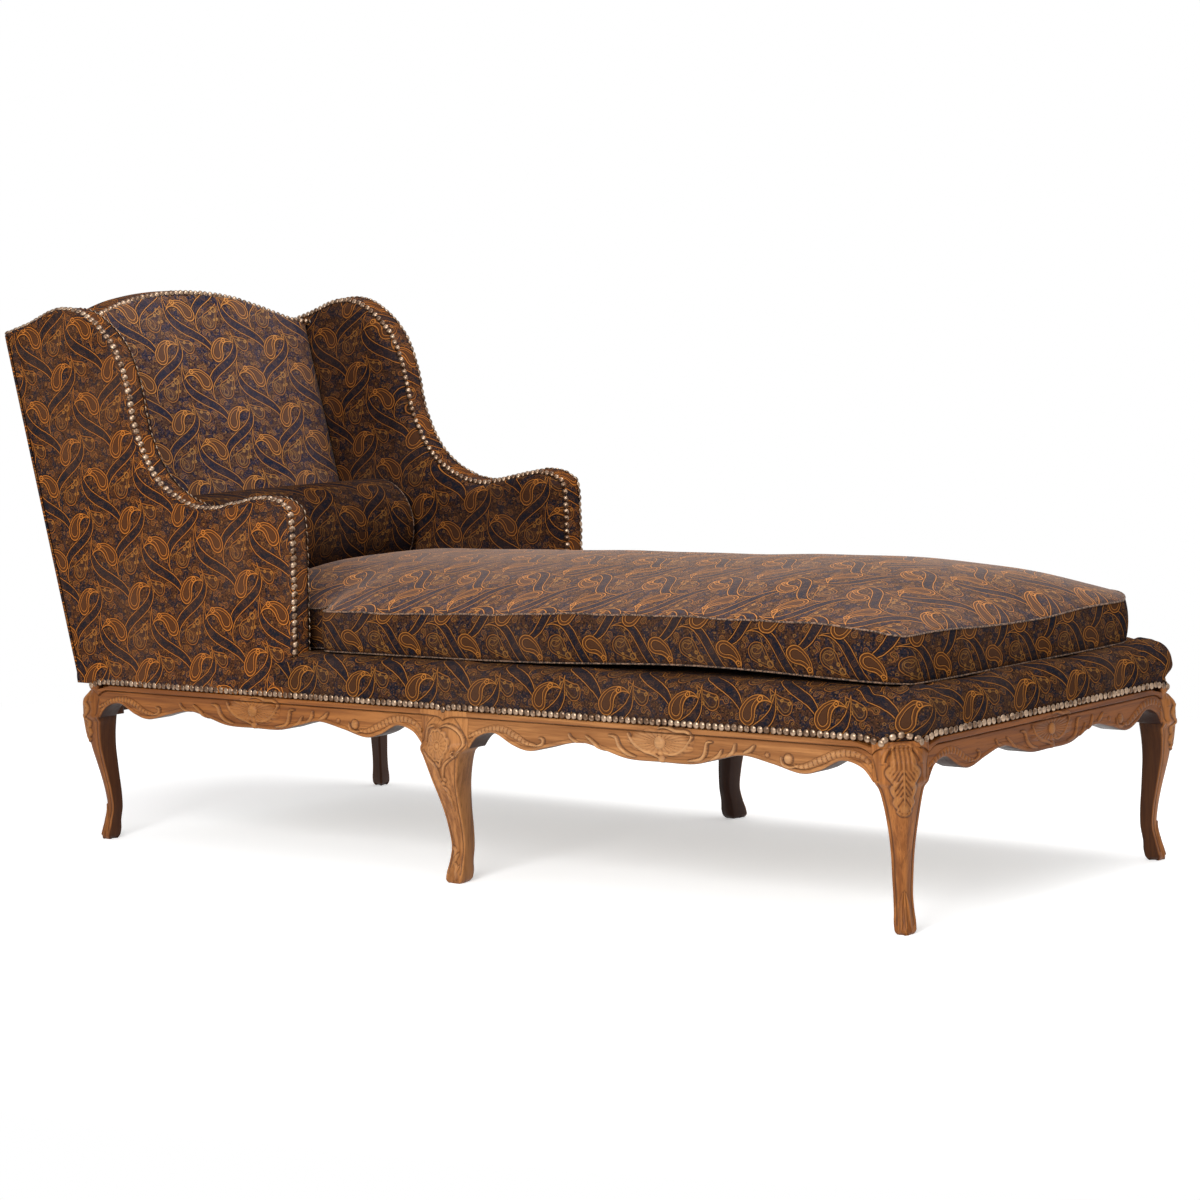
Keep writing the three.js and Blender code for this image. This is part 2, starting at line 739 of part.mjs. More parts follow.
const deckBack = armFront - armPostWidth;
const deckCorner = (x, y) => new THREE.Vector2(x, y);
function deckPlan(recess, start) {
  const side = halfWidth - recess;
  const foot = halfLength - recess;
  const slant = cornerCut - recess * (2 - Math.SQRT2);
  return [
    deckCorner(start, -side), deckCorner(foot - slant, -side), deckCorner(foot, slant - side),
    deckCorner(foot, side - slant), deckCorner(foot - slant, side), deckCorner(start, side),
  ];
}

// Rolled edge of the deck, from the nail line to the flat: moved in, height below the top
const rollShares = [[0, 1.25], [0, 0.62], [0.12, 0.36], [0.36, 0.16], [0.7, 0.04], [1.1, 0]];
const deckOutline = softOutline(
  deckPlan(deckRecess, deckBack - rollRadius),
  rollRadius / 4,
  0,
  armLength / 2,
);
const deckRings = [
  { moved: deckRecess, height: nailLine - coverThickness },
  ...rollShares.map(([moved, down]) => ({ moved: moved * rollRadius, height: deckTop - down * rollRadius })),
];
const deckMiddle = new THREE.Vector2((deckBack - rollRadius + halfLength) / 2, 0);
const deckLid = stuffed(deckOutline, deckMiddle, deckRings, (x, y, z) => new THREE.Vector3(x, y, z));
const hollowPlan = deckPlan(rebateDepth - fit, deckBack - 2 * rollRadius);
const hollow = planPrism(hollowPlan, apronLow, padFoot);
const tongueHead = rearAt(deckTop) + backThickness + backCrown;
const tongue = box(
  [tongueHead, fit - padInner, padFoot],
  [armFront + 2 * rollRadius, padInner - fit, deckTop - fit],
);
const armFoot = (sign) => box(
  [tongueHead - rollRadius, Math.min(sign * (padInner - fit), sign * frameWidth), apronLow],
  [armFront + fit, Math.max(sign * (padInner - fit), sign * frameWidth), wingHeight],
);
const headCut = box([-frameLength, -frameWidth, apronLow], [deckBack, frameWidth, padFoot]);
mesh('deck', cut(joined(deckLid, tongue), hollow, armFoot(-1), armFoot(1), headCut), velvet);

// Loose seat cushion, T-shaped, with a crowned top and drawn-in sides

const cushionFootX = halfLength - cushionFoot;
const cushionHeadX = -halfLength + cushionHead;
const earX = armFront + earGap;
const neckHalf = padInner - softGap;
const cushionHalf = cushionWidth / 2;
const cushionOutline = softOutline([
  deckCorner(cushionFootX, -cushionHalf), deckCorner(cushionFootX, cushionHalf),
  deckCorner(earX, cushionHalf), deckCorner(earX, neckHalf),
  deckCorner(cushionHeadX, neckHalf), deckCorner(cushionHeadX, -neckHalf),
  deckCorner(earX, -neckHalf), deckCorner(earX, -cushionHalf),
], cushionRadius, drawIn, armLength / 7);
const cushionFootZ = deckTop + fit;
const cushionSeam = cushionFootZ + cushionHeight;
const bolsterX = -halfLength + bolsterPlace;

// The filling thins out towards the head, where the bolster lies, and rounds off at the foot. The
// crown leans: it is a little higher towards the foot than towards the head.
const fillStart = bolsterX + bolsterRadius / 4;
const fillEnd = armFront - thinSpan;
const fillingAt = (x) => THREE.MathUtils.smoothstep(x, fillStart, fillEnd);
const seamAt = (x) => cushionSeam - headSink * (1 - fillingAt(x));
const halfAt = (x) => {
  const wide = THREE.MathUtils.smoothstep(x, earX - cushionRadius, earX + 2 * cushionRadius);
  return THREE.MathUtils.lerp(neckHalf, cushionHalf, wide) - seamInset;
};
const crownAt = (x, y) => {
  const toFoot = Math.max(0, (x - cushionFootX + footRound) / (footRound - seamInset));
  const lean = 1 + crownLean * x / halfLength;
  return seamAt(x) + cushionCrown * lean * fillingAt(x) * dome(y / halfAt(x), toFoot);
};
const cushionRings = [
  ...underShares.map((share) => ({ share, height: cushionFootZ })),
  { moved: 2 * seamInset, height: cushionFootZ }, { moved: seamInset, height: cushionFootZ + seamInset },
  { height: cushionFootZ + cushionHeight / 2 }, { moved: seamInset, height: seamAt },
  ...crownShares.map((share) => ({ share, height: crownAt })),
];
mesh('seat_cushion', stuffed(cushionOutline, new THREE.Vector2(), cushionRings, (x, y, z) => (
  new THREE.Vector3(x, y, z)
)), velvet);

// Bolster: a long round cushion with slightly domed ends, lying across the cushion's head

const bolsterHalf = padInner - bolsterGap;
// Half profile from the end's centre to the middle: radius, distance from the end inwards
const bolsterShares = [
  [0, -0.12], [0.5, -0.09], [0.86, -0.02], [0.97, 0.02], [1, 0.07], [1, 0.4], [1.02, 1.2],
];
const bolsterHalfLine = bolsterShares.map(([out, inward]) => (
  new THREE.Vector2(out * bolsterRadius, bolsterHalf - inward * bolsterRadius)
));
const bolsterLine = [
  ...bolsterHalfLine.map((point) => new THREE.Vector2(point.x, -point.y)),
  ...bolsterHalfLine.slice().reverse(),
];
const bolsterFullness = bolsterShares[bolsterShares.length - 1][0];
const bolster = mesh('bolster', welded(new THREE.LatheGeometry(bolsterLine, 32)), velvet);
bolster.position.set(bolsterX, 0, cushionSeam - headSink + fit + bolsterRadius * bolsterFullness);

// The origin is on the floor, under the middle of the whole piece.
const bounds = new THREE.Box3().setFromObject(couch);
couch.position.x = -(bounds.min.x + bounds.max.x) / 2;

export default couch;
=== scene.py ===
"""Looks of the winged chaise longue: carved oak, close-set nails and paisley velvet.

Lengths are in metres. Shapes are drawn with the middle leg at x = 0 and moved into the frame's
place by piece(); the near long side lies at -Y and the foot end at +X.
"""

import math

import bpy
import numpy as np
from mathutils import Matrix, Vector


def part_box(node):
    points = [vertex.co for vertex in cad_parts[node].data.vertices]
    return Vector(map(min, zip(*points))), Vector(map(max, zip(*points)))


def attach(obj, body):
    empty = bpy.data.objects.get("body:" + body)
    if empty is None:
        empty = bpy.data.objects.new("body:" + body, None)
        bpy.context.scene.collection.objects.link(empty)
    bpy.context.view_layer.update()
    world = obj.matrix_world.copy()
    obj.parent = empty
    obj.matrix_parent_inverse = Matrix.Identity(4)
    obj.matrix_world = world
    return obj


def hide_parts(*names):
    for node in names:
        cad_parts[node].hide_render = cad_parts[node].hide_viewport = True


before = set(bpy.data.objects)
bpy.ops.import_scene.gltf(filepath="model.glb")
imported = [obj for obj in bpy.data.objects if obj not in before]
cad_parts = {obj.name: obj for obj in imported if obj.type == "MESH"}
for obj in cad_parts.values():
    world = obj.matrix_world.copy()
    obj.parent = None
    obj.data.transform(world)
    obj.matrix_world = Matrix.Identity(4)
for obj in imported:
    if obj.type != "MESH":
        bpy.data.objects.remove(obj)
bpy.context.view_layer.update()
middle_low, middle_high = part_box("leg_middle_near")
ORIGIN_X = (middle_low[0] + middle_high[0]) / 2
SCENE = bpy.context.scene

# Sizes shared with the CAD part
HALF_LENGTH, HALF_WIDTH = 0.9575, 0.400
CORNER_CUT, CORNER_BLOCK = 0.045, 0.062
RAIL_TOP, SHOW_TOP, APRON_LOW, APRON_WAVE = 0.345, 0.298, 0.240, 0.021
RAIL_THICK, REBATE, BEAD_HEIGHT, BEAD_PROUD = 0.044, 0.015, 0.010, 0.003
DIP_DEPTH, DIP_LENGTH = 0.008, 0.034
MIDDLE_BLOCK, FIT = 0.054, 0.0003
NAIL_LINE, DECK_TOP = 0.305, 0.375
RAKE = math.tan(math.radians(13.9))
SIDE_PLANE, INNER_PLANE = 0.3903, 0.3483
WING_HEIGHT, CREST_HEIGHT, VALLEY_HEIGHT = 1.002, 1.030, 0.961
WING_RISE, ARM_LENGTH = WING_HEIGHT - NAIL_LINE, 0.588
ARM_FRONT = ARM_LENGTH - HALF_LENGTH
BACK_THICK, PAD_INNER = 0.076, 0.3203

SIDES, ENDS = (("near", -1), ("far", 1)), (("head", -1), ("foot", 1))
MM = 0.001


# Helpers: numbers and meshes

def joined(*parts):
    """Columns of numbers side by side; a single number is repeated down its column."""
    return np.stack(np.broadcast_arrays(*parts), -1)


def unit(vectors):
    return vectors / np.linalg.norm(vectors, axis=-1, keepdims=True)


def smoothstep(low, high, x):
    t = np.clip((x - low) / (high - low), 0, 1)
    return t * t * (3 - 2 * t)


def piece(name, verts, faces, material, body="couch", uv=None, replaces=()):
    """A mesh piece that rides on a body. uv has one pair for each vertex or for each face corner."""
    mesh = bpy.data.meshes.new(name)
    points = np.asarray(verts, float) + (ORIGIN_X, 0, 0)
    mesh.from_pydata(points.tolist(), [], [list(map(int, face)) for face in faces])
    if uv is not None:
        flat = np.asarray(uv, float)
        if len(flat) == len(points):
            corners = np.empty(len(mesh.loops), int)
            mesh.loops.foreach_get("vertex_index", corners)
            flat = flat[corners]
        mesh.uv_layers.new(name="UVMap").data.foreach_set("uv", flat.ravel())
    mesh.validate()
    mesh.update()
    obj = bpy.data.objects.new(name, mesh)
    SCENE.collection.objects.link(obj)
    mesh.materials.append(material)
    mesh.polygons.foreach_set("use_smooth", [True] * len(mesh.polygons))
    if replaces:
        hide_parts(*replaces)
    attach(obj, body)
    return obj


def carved_piece(name, verts, faces, material, layers):
    """A carved piece in place of the CAD's; layers are numbers on its vertices for the wood material."""
    obj = piece(name + "_carved", verts, faces, material, replaces=(name,))
    for layer, values in layers.items():
        data = obj.data.attributes.new(layer, "FLOAT", "POINT").data
        data.foreach_set("value", np.asarray(values, float).ravel())


def vertex_places(mesh):
    flat = np.empty(len(mesh.vertices) * 3)
    mesh.vertices.foreach_get("co", flat)
    return flat.reshape(-1, 3)


def grid_faces(rows, columns, wrap=False):
    """Quads of a grid of vertices stored row by row; wrap joins the last column to the first."""
    r, c = np.meshgrid(np.arange(rows - 1), np.arange(columns if wrap else columns - 1), indexing="ij")
    here, on = r * columns + c, r * columns + (c + 1) % columns
    return np.stack([here, on, on + columns, here + columns], -1).reshape(-1, 4).tolist()


def closed_faces(rows, columns):
    """Quads of a grid that wraps round, with one face over its first row and one over its last."""
    last = (rows - 1) * columns
    ends = [list(range(columns))[::-1], list(range(last, last + columns))]
    return grid_faces(rows, columns, wrap=True) + ends


def catmull(points, count):
    """Points along a smooth curve through the given ones, evenly shared among the spans."""
    p = np.asarray(points, float)
    t = np.linspace(0, len(p) - 1, count + 1)
    i = np.minimum(t.astype(int), len(p) - 2)
    w = (t - i)[:, None]
    p0, p1, p2, p3 = p[np.maximum(i - 1, 0)], p[i], p[i + 1], p[np.minimum(i + 2, len(p) - 1)]
    v0, v1 = (p2 - p0) / 2, (p3 - p1) / 2
    return (2 * p1 - 2 * p2 + v0 + v1) * w ** 3 + (3 * p2 - 3 * p1 - 2 * v0 - v1) * w ** 2 + v0 * w + p1


def mirrored(half, count):
    """A smooth curve through the given places and their mirror images in x = 0."""
    return catmull([(-x, z) for x, z in half[:0:-1]] + half, count)


def along(points):
    """Running length of a polyline."""
    steps = np.linalg.norm(np.diff(points, axis=0), axis=1)
    return np.concatenate([[0], np.cumsum(steps)])


def sampled(places, run, values):
    """Rows of values that belong to the places run, read at other places."""
    return np.stack([np.interp(places, run, column) for column in values.T], -1)


def resampled(points, step):
    """The polyline again, with even steps."""
    run = along(points)
    return sampled(np.linspace(0, run[-1], max(2, int(round(run[-1] / step)) + 1)), run, points)


def edge_normals(points, closed=False):
    """Unit normals on the left-hand side of a flat outline."""
    step = np.roll(points, -1, 0) - np.roll(points, 1, 0) if closed else np.gradient(points, axis=0)
    step /= np.linalg.norm(step, axis=1)[:, None] + 1e-12
    return joined(-step[:, 1], step[:, 0])


def line_distance(points, curve):
    """Distance of flat points to a polyline, and the share along it of the nearest place."""
    best = np.full(len(points), 1e9)
    share = np.zeros(len(points))
    run = along(curve)
    for k in range(len(curve) - 1):
        a, d = curve[k], curve[k + 1] - curve[k]
        t = np.clip((points - a) @ d / max(d @ d, 1e-12), 0, 1)
        gap = np.linalg.norm(points - a - t[:, None] * d, axis=1)
        nearer = gap < best
        best[nearer] = gap[nearer]
        share[nearer] = ((run[k] + t * (run[k + 1] - run[k])) / run[-1])[nearer]
    return best, share


# Helpers: materials

def new_material(name, settings):
    """A material, its tree and its shader, whose inputs take the settings."""
    material = bpy.data.materials.new(name)
    material.use_nodes = True
    tree = material.node_tree
    shader = tree.nodes["Principled BSDF"]
    for key, value in settings.items():
        shader.inputs[key].default_value = value
    return material, tree, shader


def node(tree, kind, inputs=(), **settings):
    """A node; each of its inputs takes a value, or a link from a field or a socket."""
    made = tree.nodes.new(kind)
    for key, value in settings.items():
        setattr(made, key, value)
    for key, value in dict(inputs).items():
        value = value.socket if isinstance(value, Field) else value
        if isinstance(value, bpy.types.NodeSocket):
            tree.links.new(value, made.inputs[key])
        else:
            made.inputs[key].default_value = value
    return made


class Field:
    """A number that varies over a surface: arithmetic on it adds Math nodes to a tree."""

    def __init__(self, tree, socket):
        self.tree, self.socket = tree, socket

    def math(self, operation, *others):
        made = node(self.tree, "ShaderNodeMath", enumerate((self, *others)), operation=operation)
        return Field(self.tree, made.outputs[0])

    def __add__(self, other):
        return self.math("ADD", other)

    def __sub__(self, other):
        return self.math("SUBTRACT", other)

    def __mul__(self, other):
        return self.math("MULTIPLY", other)

    def __neg__(self):
        return self.math("MULTIPLY", -1.0)

    def smooth(self, low, high, start=0.0, end=1.0):
        made = node(self.tree, "ShaderNodeMapRange", {
            "Value": self, "From Min": low, "From Max": high, "To Min": start, "To Max": end},
            interpolation_type="SMOOTHSTEP")
        return Field(self.tree, made.outputs["Result"])

    def band(self, place, half, soft):
        return (self - place).math("ABSOLUTE").smooth(half - soft, half + soft, 1.0, 0.0)


def length_of(x, y):
    return (x * x + y * y).math("SQRT")


def mixed(tree, factor, first, second, blend="MIX"):
    """One colour over another; each is a socket or a tuple of red, green and blue."""
    first, second = ((*colour, 1) if isinstance(colour, tuple) else colour for colour in (first, second))
    made = node(tree, "ShaderNodeMix", {0: factor, 6: first, 7: second}, data_type="RGBA", blend_type=blend)
    return made.outputs[2]


def painted(tree, colour, layers):
    """A colour with layers over it, each a factor and a colour."""
    for factor, paint in layers:
        colour = mixed(tree, factor, colour, paint)
    return colour


def noise(tree, vector, scale, detail, rough):
    made = node(tree, "ShaderNodeTexNoise", {
        "Vector": vector, "Scale": scale, "Detail": detail, "Roughness": rough})
    return Field(tree, made.outputs["Fac"])


def object_place(tree):
    return node(tree, "ShaderNodeTexCoord").outputs["Object"]


def stretched(tree, vector, scale):
    return node(tree, "ShaderNodeMapping", {"Vector": vector, "Scale": scale}).outputs["Vector"]


def axes(tree, vector):
    """The numbers of a vector, each as a field."""
    return [Field(tree, out) for out in node(tree, "ShaderNodeSeparateXYZ", {"Vector": vector}).outputs]


def bumped(tree, shader, height, strength, distance):
    bump = node(tree, "ShaderNodeBump", {"Height": height, "Strength": strength, "Distance": distance})
    tree.links.new(bump.outputs["Normal"], shader.inputs["Normal"])


def darker(colour, share):
    return tuple(c * share for c in colour)


# Wood

# CREVICE darkens the carving's hollows; SHADOW is painted shade on sides, backs and undersides
WAX, CREVICE, SHADOW = (0.56, 0.31, 0.13), (0.070, 0.026, 0.010), (0.028, 0.008, 0.004)
# Painted shade towards the head and again at the foot end, painted light over the foot bay
PAINTED_SHADE_TINT, PAINTED_LIGHT_TINT = (0.80, 0.68, 0.52), (1.05, 1.10, 1.22)


def wood_material(name, grain, light, dark, carved=True, roughness=0.42):
    """Wood with its grain along one axis. Carved oak is darker in hollows, takes painted shade, with some real dark
    patina, on its sides, backs and undersides (the inner layer), and has painted light over the foot bay and
    painted shade towards the head and again at the foot end, as in the photograph."""
    material, tree, shader = new_material(name, {"Specular IOR Level": 0.16})
    place = object_place(tree)

    def grained(across, lengthwise, detail, rough):
        scale = [across] * 3
        scale[grain] = lengthwise
        return noise(tree, stretched(tree, place, scale), 1.0, detail, rough)

    streaks = grained(120.0, 4.0, 5.0, 0.62)
    figure = grained(14.0, 1.8, 4.0, 0.6)
    pore = grained(520.0, 16.0, 2.0, 0.5)
    tone = (streaks * 0.55 + figure * 0.45).smooth(0.40, 0.61)
    layers = [(tone, light), (pore.smooth(0.56, 0.7) * 0.5, darker(dark, 0.4))]
    if carved:
        # The inner layer paints shade on sides, backs and undersides
        for layer, factor, paint in (("worn", 0.35, WAX), ("hollow", 0.9, CREVICE), ("inner", 0.97, SHADOW)):
            value = node(tree, "ShaderNodeAttribute", attribute_name=layer).outputs["Fac"]
            layers.append((Field(tree, value) * factor, paint))
    colour = painted(tree, dark, layers)
    if carved:
        # Painted light over the foot bay, painted shade towards the head and again at the foot end
        run = axes(tree, place)[0]
        pale = run.smooth(-0.35, 0.35) * run.smooth(1.02, 0.85)
        colour = mixed(tree, 1.0, colour, mixed(tree, pale, PAINTED_SHADE_TINT, PAINTED_LIGHT_TINT), "MULTIPLY")
    tree.links.new(colour, shader.inputs["Base Color"])
    gloss = (streaks * 0.2 + roughness - 0.08).smooth(0.0, 1.0)
    tree.links.new(gloss.socket, shader.inputs["Roughness"])
    bumped(tree, shader, pore * 0.5 + streaks, 0.3, 0.0009)
    return material


# Paisley velvet. The pattern is drawn in centimetres.

TILE_WIDTH, TILE_HEIGHT = 14.56, 14.1
CLOTH_TURN = 6  # degrees that the pattern leans, as in the photograph
# Places of the motifs in the tile, then their turn and shape as in boteh(), leaf() and rings()
LEAVES = ((0, 0, 34, 8.2, 1.05, -1.37, -4.3), (6.02, 5.90, -31, 8.0, 1.0, 0.17, 4.9))
FLOWERS = ((5.43, 0.94, -50, 1.75, 4.6, 0.05), (-1.7, 10.0, 66, 1.3, 4.6, -0.05))
BOTEHS = ((5.3, 8.5, -13, 1.5, 4.9, -0.25, 0.86), (0.45, 2.9, 27, 1.5, 5.1, 0.24, 0.86))
BUD = (5.2, 0.5, -25, 0.55, 2.8, 0.7)
CURLS = ((7.75, 11.0, 0.5), (-2.75, 5.1, 0.5))
BERRIES = ((7.4, 3.3, 0.55), (6.9, 1.2, 0.2), (7.7, 1.3, 0.2), (6.3, 2.6, 0.25), (-4.3, 11.2, 0.52),
           (-3.5, 9.8, 0.25), (-1.0, 10.6, 0.25), (-2.6, 11.0, 0.22))
# Motifs of the ground, drawn at a third of their size
SMALL = 3.0
SMALL_BOTEHS = ((3, 3, 35, 1.5, 4.6, 0.3), (10.2, 10, -40, 1.5, 4.6, -0.3))
SMALL_DOTS = ((6.5, 11.0, 0.7), (12.6, 4.0, 0.6), (7.5, 5.6, 0.5), (13.4, 8.4, 0.5))
BROWN, NAVY, DARK = (0.094, 0.041, 0.023), (0.017, 0.024, 0.042), (0.010, 0.007, 0.007)
LEAF_NAVY, FILL, RUST = (0.011, 0.017, 0.029), (0.125, 0.050, 0.022), (0.160, 0.056, 0.018)
ORANGE, GOLD, OCHRE = (0.760, 0.270, 0.050), (0.500, 0.215, 0.050), (0.540, 0.190, 0.042)
RUBBED = (0.20, 0.12, 0.085)


def tile_place(u, v, s, t, turn):
    """Place in a motif's own axes, the nearest copy of the motif counted."""
    x = (u - s).math("WRAP", TILE_WIDTH / 2, -TILE_WIDTH / 2)
    y = (v - t).math("WRAP", TILE_HEIGHT / 2, -TILE_HEIGHT / 2)
    c, d = math.cos(math.radians(turn)), math.sin(math.radians(turn))
    return x * c + y * d, y * c - x * d


def boteh(u, v, s, t, turn, radius, tail, swirl, squeeze=1.0):
    """Signed distance to a curled teardrop."""
    x, y = tile_place(u, v, s, t, turn)
    y = y * squeeze
    reach = length_of(x, y)
    angle = x.math("ARCTAN2", y) + (reach - 0.6 * radius).math("MAXIMUM", 0.0) * swirl
    across = (reach * angle.math("SINE")).math("ABSOLUTE")
    forward = reach * angle.math("COSINE")
    b = radius / tail
    a = math.sqrt(1 - b * b)
    flank = across * a + forward * b - radius
    is_round = (forward * a).math("LESS_THAN", across * b)
    return flank + is_round * (reach - radius - flank)


def leaf(u, v, s, t, turn, half, width, bow, bend):
    """Signed distance to a long leaf whose middle line bows and bends."""
    x, y = tile_place(u, v, s, t, turn)
    q = y * (1 / half)
    taper = -(q * q) + 1.0
    middle = taper * (q * bend + bow)
    return ((x - middle).math("ABSOLUTE") - taper * width).math("MAXIMUM", y.math("ABSOLUTE") - half)


def rings(u, v, places):
    """Signed distance to the nearest of some circles."""
    nearest = None
    for s, t, radius in places:
        ring = length_of(*tile_place(u, v, s, t, 0)) - radius
        nearest = ring if nearest is None else nearest.math("MINIMUM", ring)
    return nearest


def motif(distance, fill, line, half, strength=1.0, halo=0.2):
    """Layers of a motif: its fill, a dark halo and the line round it."""
    return [(distance.smooth(-0.06, 0.02, 1.0, 0.0) * strength, fill),
            (distance.band(0.0, half + halo, 0.1) * 0.6, DARK), (distance.band(0.0, half, 0.05) * 0.92, line)]


def paisley_material(name, shade, sheen):
    """Cut velvet with a traditional paisley, drawn from UVs in metres; shade multiplies its colours, and in the
    copies for the seat, top, wings, back and bolster it is painted light and shade.
    """
    material, tree, shader = new_material(name, {
        "Roughness": 0.95, "Specular IOR Level": 0.02, "Sheen Weight": sheen, "Sheen Roughness": 0.4,
        "Sheen Tint": (0.85, 0.66, 0.55, 1)})
    uv = node(tree, "ShaderNodeUVMap", uv_map="UVMap").outputs["UV"]
    waver = node(tree, "ShaderNodeTexNoise", {"Vector": uv, "Scale": 120.0, "Detail": 1.0})
    shift = node(tree, "ShaderNodeVectorMath", {
        0: waver.outputs["Color"], 1: (0.0016, 0.0016, 0), 2: uv}, operation="MULTIPLY_ADD")
    u, v = (place * 100.0 for place in axes(tree, shift.outputs["Vector"])[:2])
    patches = noise(tree, uv, 52.0, 3.0, 0.55)
    specks = noise(tree, uv, 230.0, 2.0, 0.6)
    flecks = noise(tree, uv, 330.0, 1.0, 0.5)
    layers = [(patches.smooth(0.46, 0.56) * 0.85, NAVY), (specks.smooth(0.52, 0.60) * 0.75, DARK),
              (specks.smooth(0.46, 0.38) * 0.6, RUST), (flecks.smooth(0.62, 0.69) * 0.55, GOLD)]
    for place in SMALL_BOTEHS:
        small = boteh(u * SMALL, v * SMALL, *place)
        layers += [(small.band(0.0, 0.2, 0.12) * 0.6, OCHRE), (small.band(-0.85, 0.15, 0.1) * 0.5, GOLD)]
    layers.append((rings(u * SMALL, v * SMALL, SMALL_DOTS).band(0.0, 0.2, 0.12) * 0.6, GOLD))
    for place in FLOWERS:
        flower = boteh(u, v, *place)
        layers += motif(flower, BROWN, OCHRE, 0.07, 0.5, 0.15) + [(flower.band(-0.5, 0.06, 0.05) * 0.6, GOLD)]
    layers += [(rings(u, v, BERRIES).band(0.0, 0.1, 0.05) * 0.9, GOLD),
               (boteh(u, v, *BUD).band(0.0, 0.07, 0.05) * 0.7, GOLD)]
    for place in LEAVES:
        blade = leaf(u, v, *place)
        layers += motif(blade, LEAF_NAVY, ORANGE, 0.07, 0.7) + [(blade.band(-0.30, 0.05, 0.05) * 0.35, RUST)]
    for place in BOTEHS:
        drop = boteh(u, v, *place)
        layers += motif(drop, FILL, ORANGE, 0.08) + [
            (drop.band(-0.29, 0.13, 0.05) * 0.75, RUST), (drop.band(-0.55, 0.06, 0.04) * 0.85, ORANGE),
            (drop.band(-0.70, 0.05, 0.04) * 0.6, DARK)]
    curls = rings(u, v, CURLS)
    rubbed = noise(tree, object_place(tree), 6.0, 4.0, 0.6)
    layers += [(curls.smooth(-0.05, 0.05, 1.0, 0.0) * 0.8, DARK), (curls.band(-0.05, 0.1, 0.04), ORANGE),
               (curls.band(-0.42, 0.07, 0.04), ORANGE), (rubbed.smooth(0.38, 0.72) * 0.2, RUBBED)]
    colour = mixed(tree, 1.0, painted(tree, BROWN, layers), shade, "MULTIPLY")
    tree.links.new(colour, shader.inputs["Base Color"])
    pile = noise(tree, uv, 900.0, 2.0, 0.5)
    bumped(tree, shader, pile * 0.5 + specks, 0.35, 0.0012)
    return material


def laid(across, up):
    """UVs of cloth laid upright on a face, its repeat a little out of square."""
    c, s = math.cos(math.radians(CLOTH_TURN)), math.sin(math.radians(CLOTH_TURN))
    return joined(across * c + up * s, up * c - across * s)


# Other materials

def cord_material(colour):
    material, tree, shader = new_material("piping_velvet", {"Roughness": 0.9, "Sheen Weight": 0.05})
    grainy = noise(tree, object_place(tree), 260.0, 3.0, 0.6)
    shade = mixed(tree, grainy.smooth(0.42, 0.60), darker(colour, 0.07), colour)
    tree.links.new(shade, shader.inputs["Base Color"])
    bumped(tree, shader, grainy, 0.3, 0.0008)
    return material


def woven_material(name, colour, pitch):
    """Plain weave in the frame's own axes: two sets of threads, each over and under."""
    material, tree, shader = new_material(name, {"Roughness": 0.95})
    place = object_place(tree)
    along_x, along_y, along_z = axes(tree, place)
    x = along_x * (math.pi / pitch)
    y = (along_y + along_z) * (math.pi / pitch)
    height = x.math("SINE").math("ABSOLUTE") * y.math("SINE").math("ABSOLUTE")
    slub = noise(tree, place, 60.0, 4.0, 0.6)
    shade = painted(tree, darker(colour, 0.45), [(height, colour), (slub * 0.4, darker(colour, 0.6))])
    tree.links.new(shade, shader.inputs["Base Color"])
    bumped(tree, shader, height, 0.6, 0.001)
    return material


def nail_material():
    material, tree, shader = new_material("antique_nail", {"Metallic": 0.9, "Roughness": 0.32})
    patina = noise(tree, object_place(tree), 70.0, 3.0, 0.6)
    colour = mixed(tree, patina.smooth(0.38, 0.62), (0.11, 0.062, 0.036), (0.36, 0.25, 0.17))
    tree.links.new(colour, shader.inputs["Base Color"])
    return material


HONEY, HONEY_DARK = (0.400, 0.168, 0.050), (0.205, 0.074, 0.019)
OAK_X = wood_material("oak_along", 0, HONEY, HONEY_DARK)
# The end rails' oak is darker: partly its own patina, partly painted shade where they turn from the light
OAK_Y = wood_material("oak_across", 1, (0.270, 0.100, 0.026), (0.130, 0.042, 0.011))
OAK_Z = wood_material("oak_upright", 2, HONEY, HONEY_DARK)
BEECH = wood_material("beech", 0, (0.42, 0.27, 0.15), (0.30, 0.18, 0.09), carved=False, roughness=0.7)
PAISLEY = paisley_material("paisley_velvet", (0.64, 0.59, 0.54), 0.01)
# Deck and cushion border: the velvet darkened as painted shade
PAISLEY_SEAT_PAINTED_SHADE = paisley_material("paisley_velvet_seat_painted_shade", (0.43, 0.45, 0.48), 0.01)
# Cushion top: the velvet lightened and cooled as painted light, besides its sheen
PAISLEY_TOP_PAINTED_LIGHT = paisley_material("paisley_velvet_top_painted_light", (0.70, 0.75, 0.93), 0.34)
# Inner wings: the velvet darkened as painted shade
PAISLEY_WINGS_PAINTED_SHADE = paisley_material("paisley_velvet_wings_painted_shade", (0.42, 0.42, 0.45), 0.0)
# Inside back: the velvet lightened and cooled as painted light
PAISLEY_BACK_PAINTED_LIGHT = paisley_material("paisley_velvet_back_painted_light", (0.80, 0.93, 1.25), 0.10)
# Bolster: the velvet darkened as painted shadow, cast by the near wing
PAISLEY_BOLSTER_PAINTED_SHADOW = paisley_material("paisley_velvet_bolster_painted_shadow", (0.28, 0.29, 0.33), 0.0)
CORD = cord_material((0.24, 0.135, 0.08))
WEBBING = woven_material("jute_webbing", (0.42, 0.31, 0.18), 0.0022)
HESSIAN = woven_material("hessian", (0.38, 0.29, 0.18), 0.0016)
NAIL = nail_material()


# Carving. Places on a face, widths and heights are in millimetres.

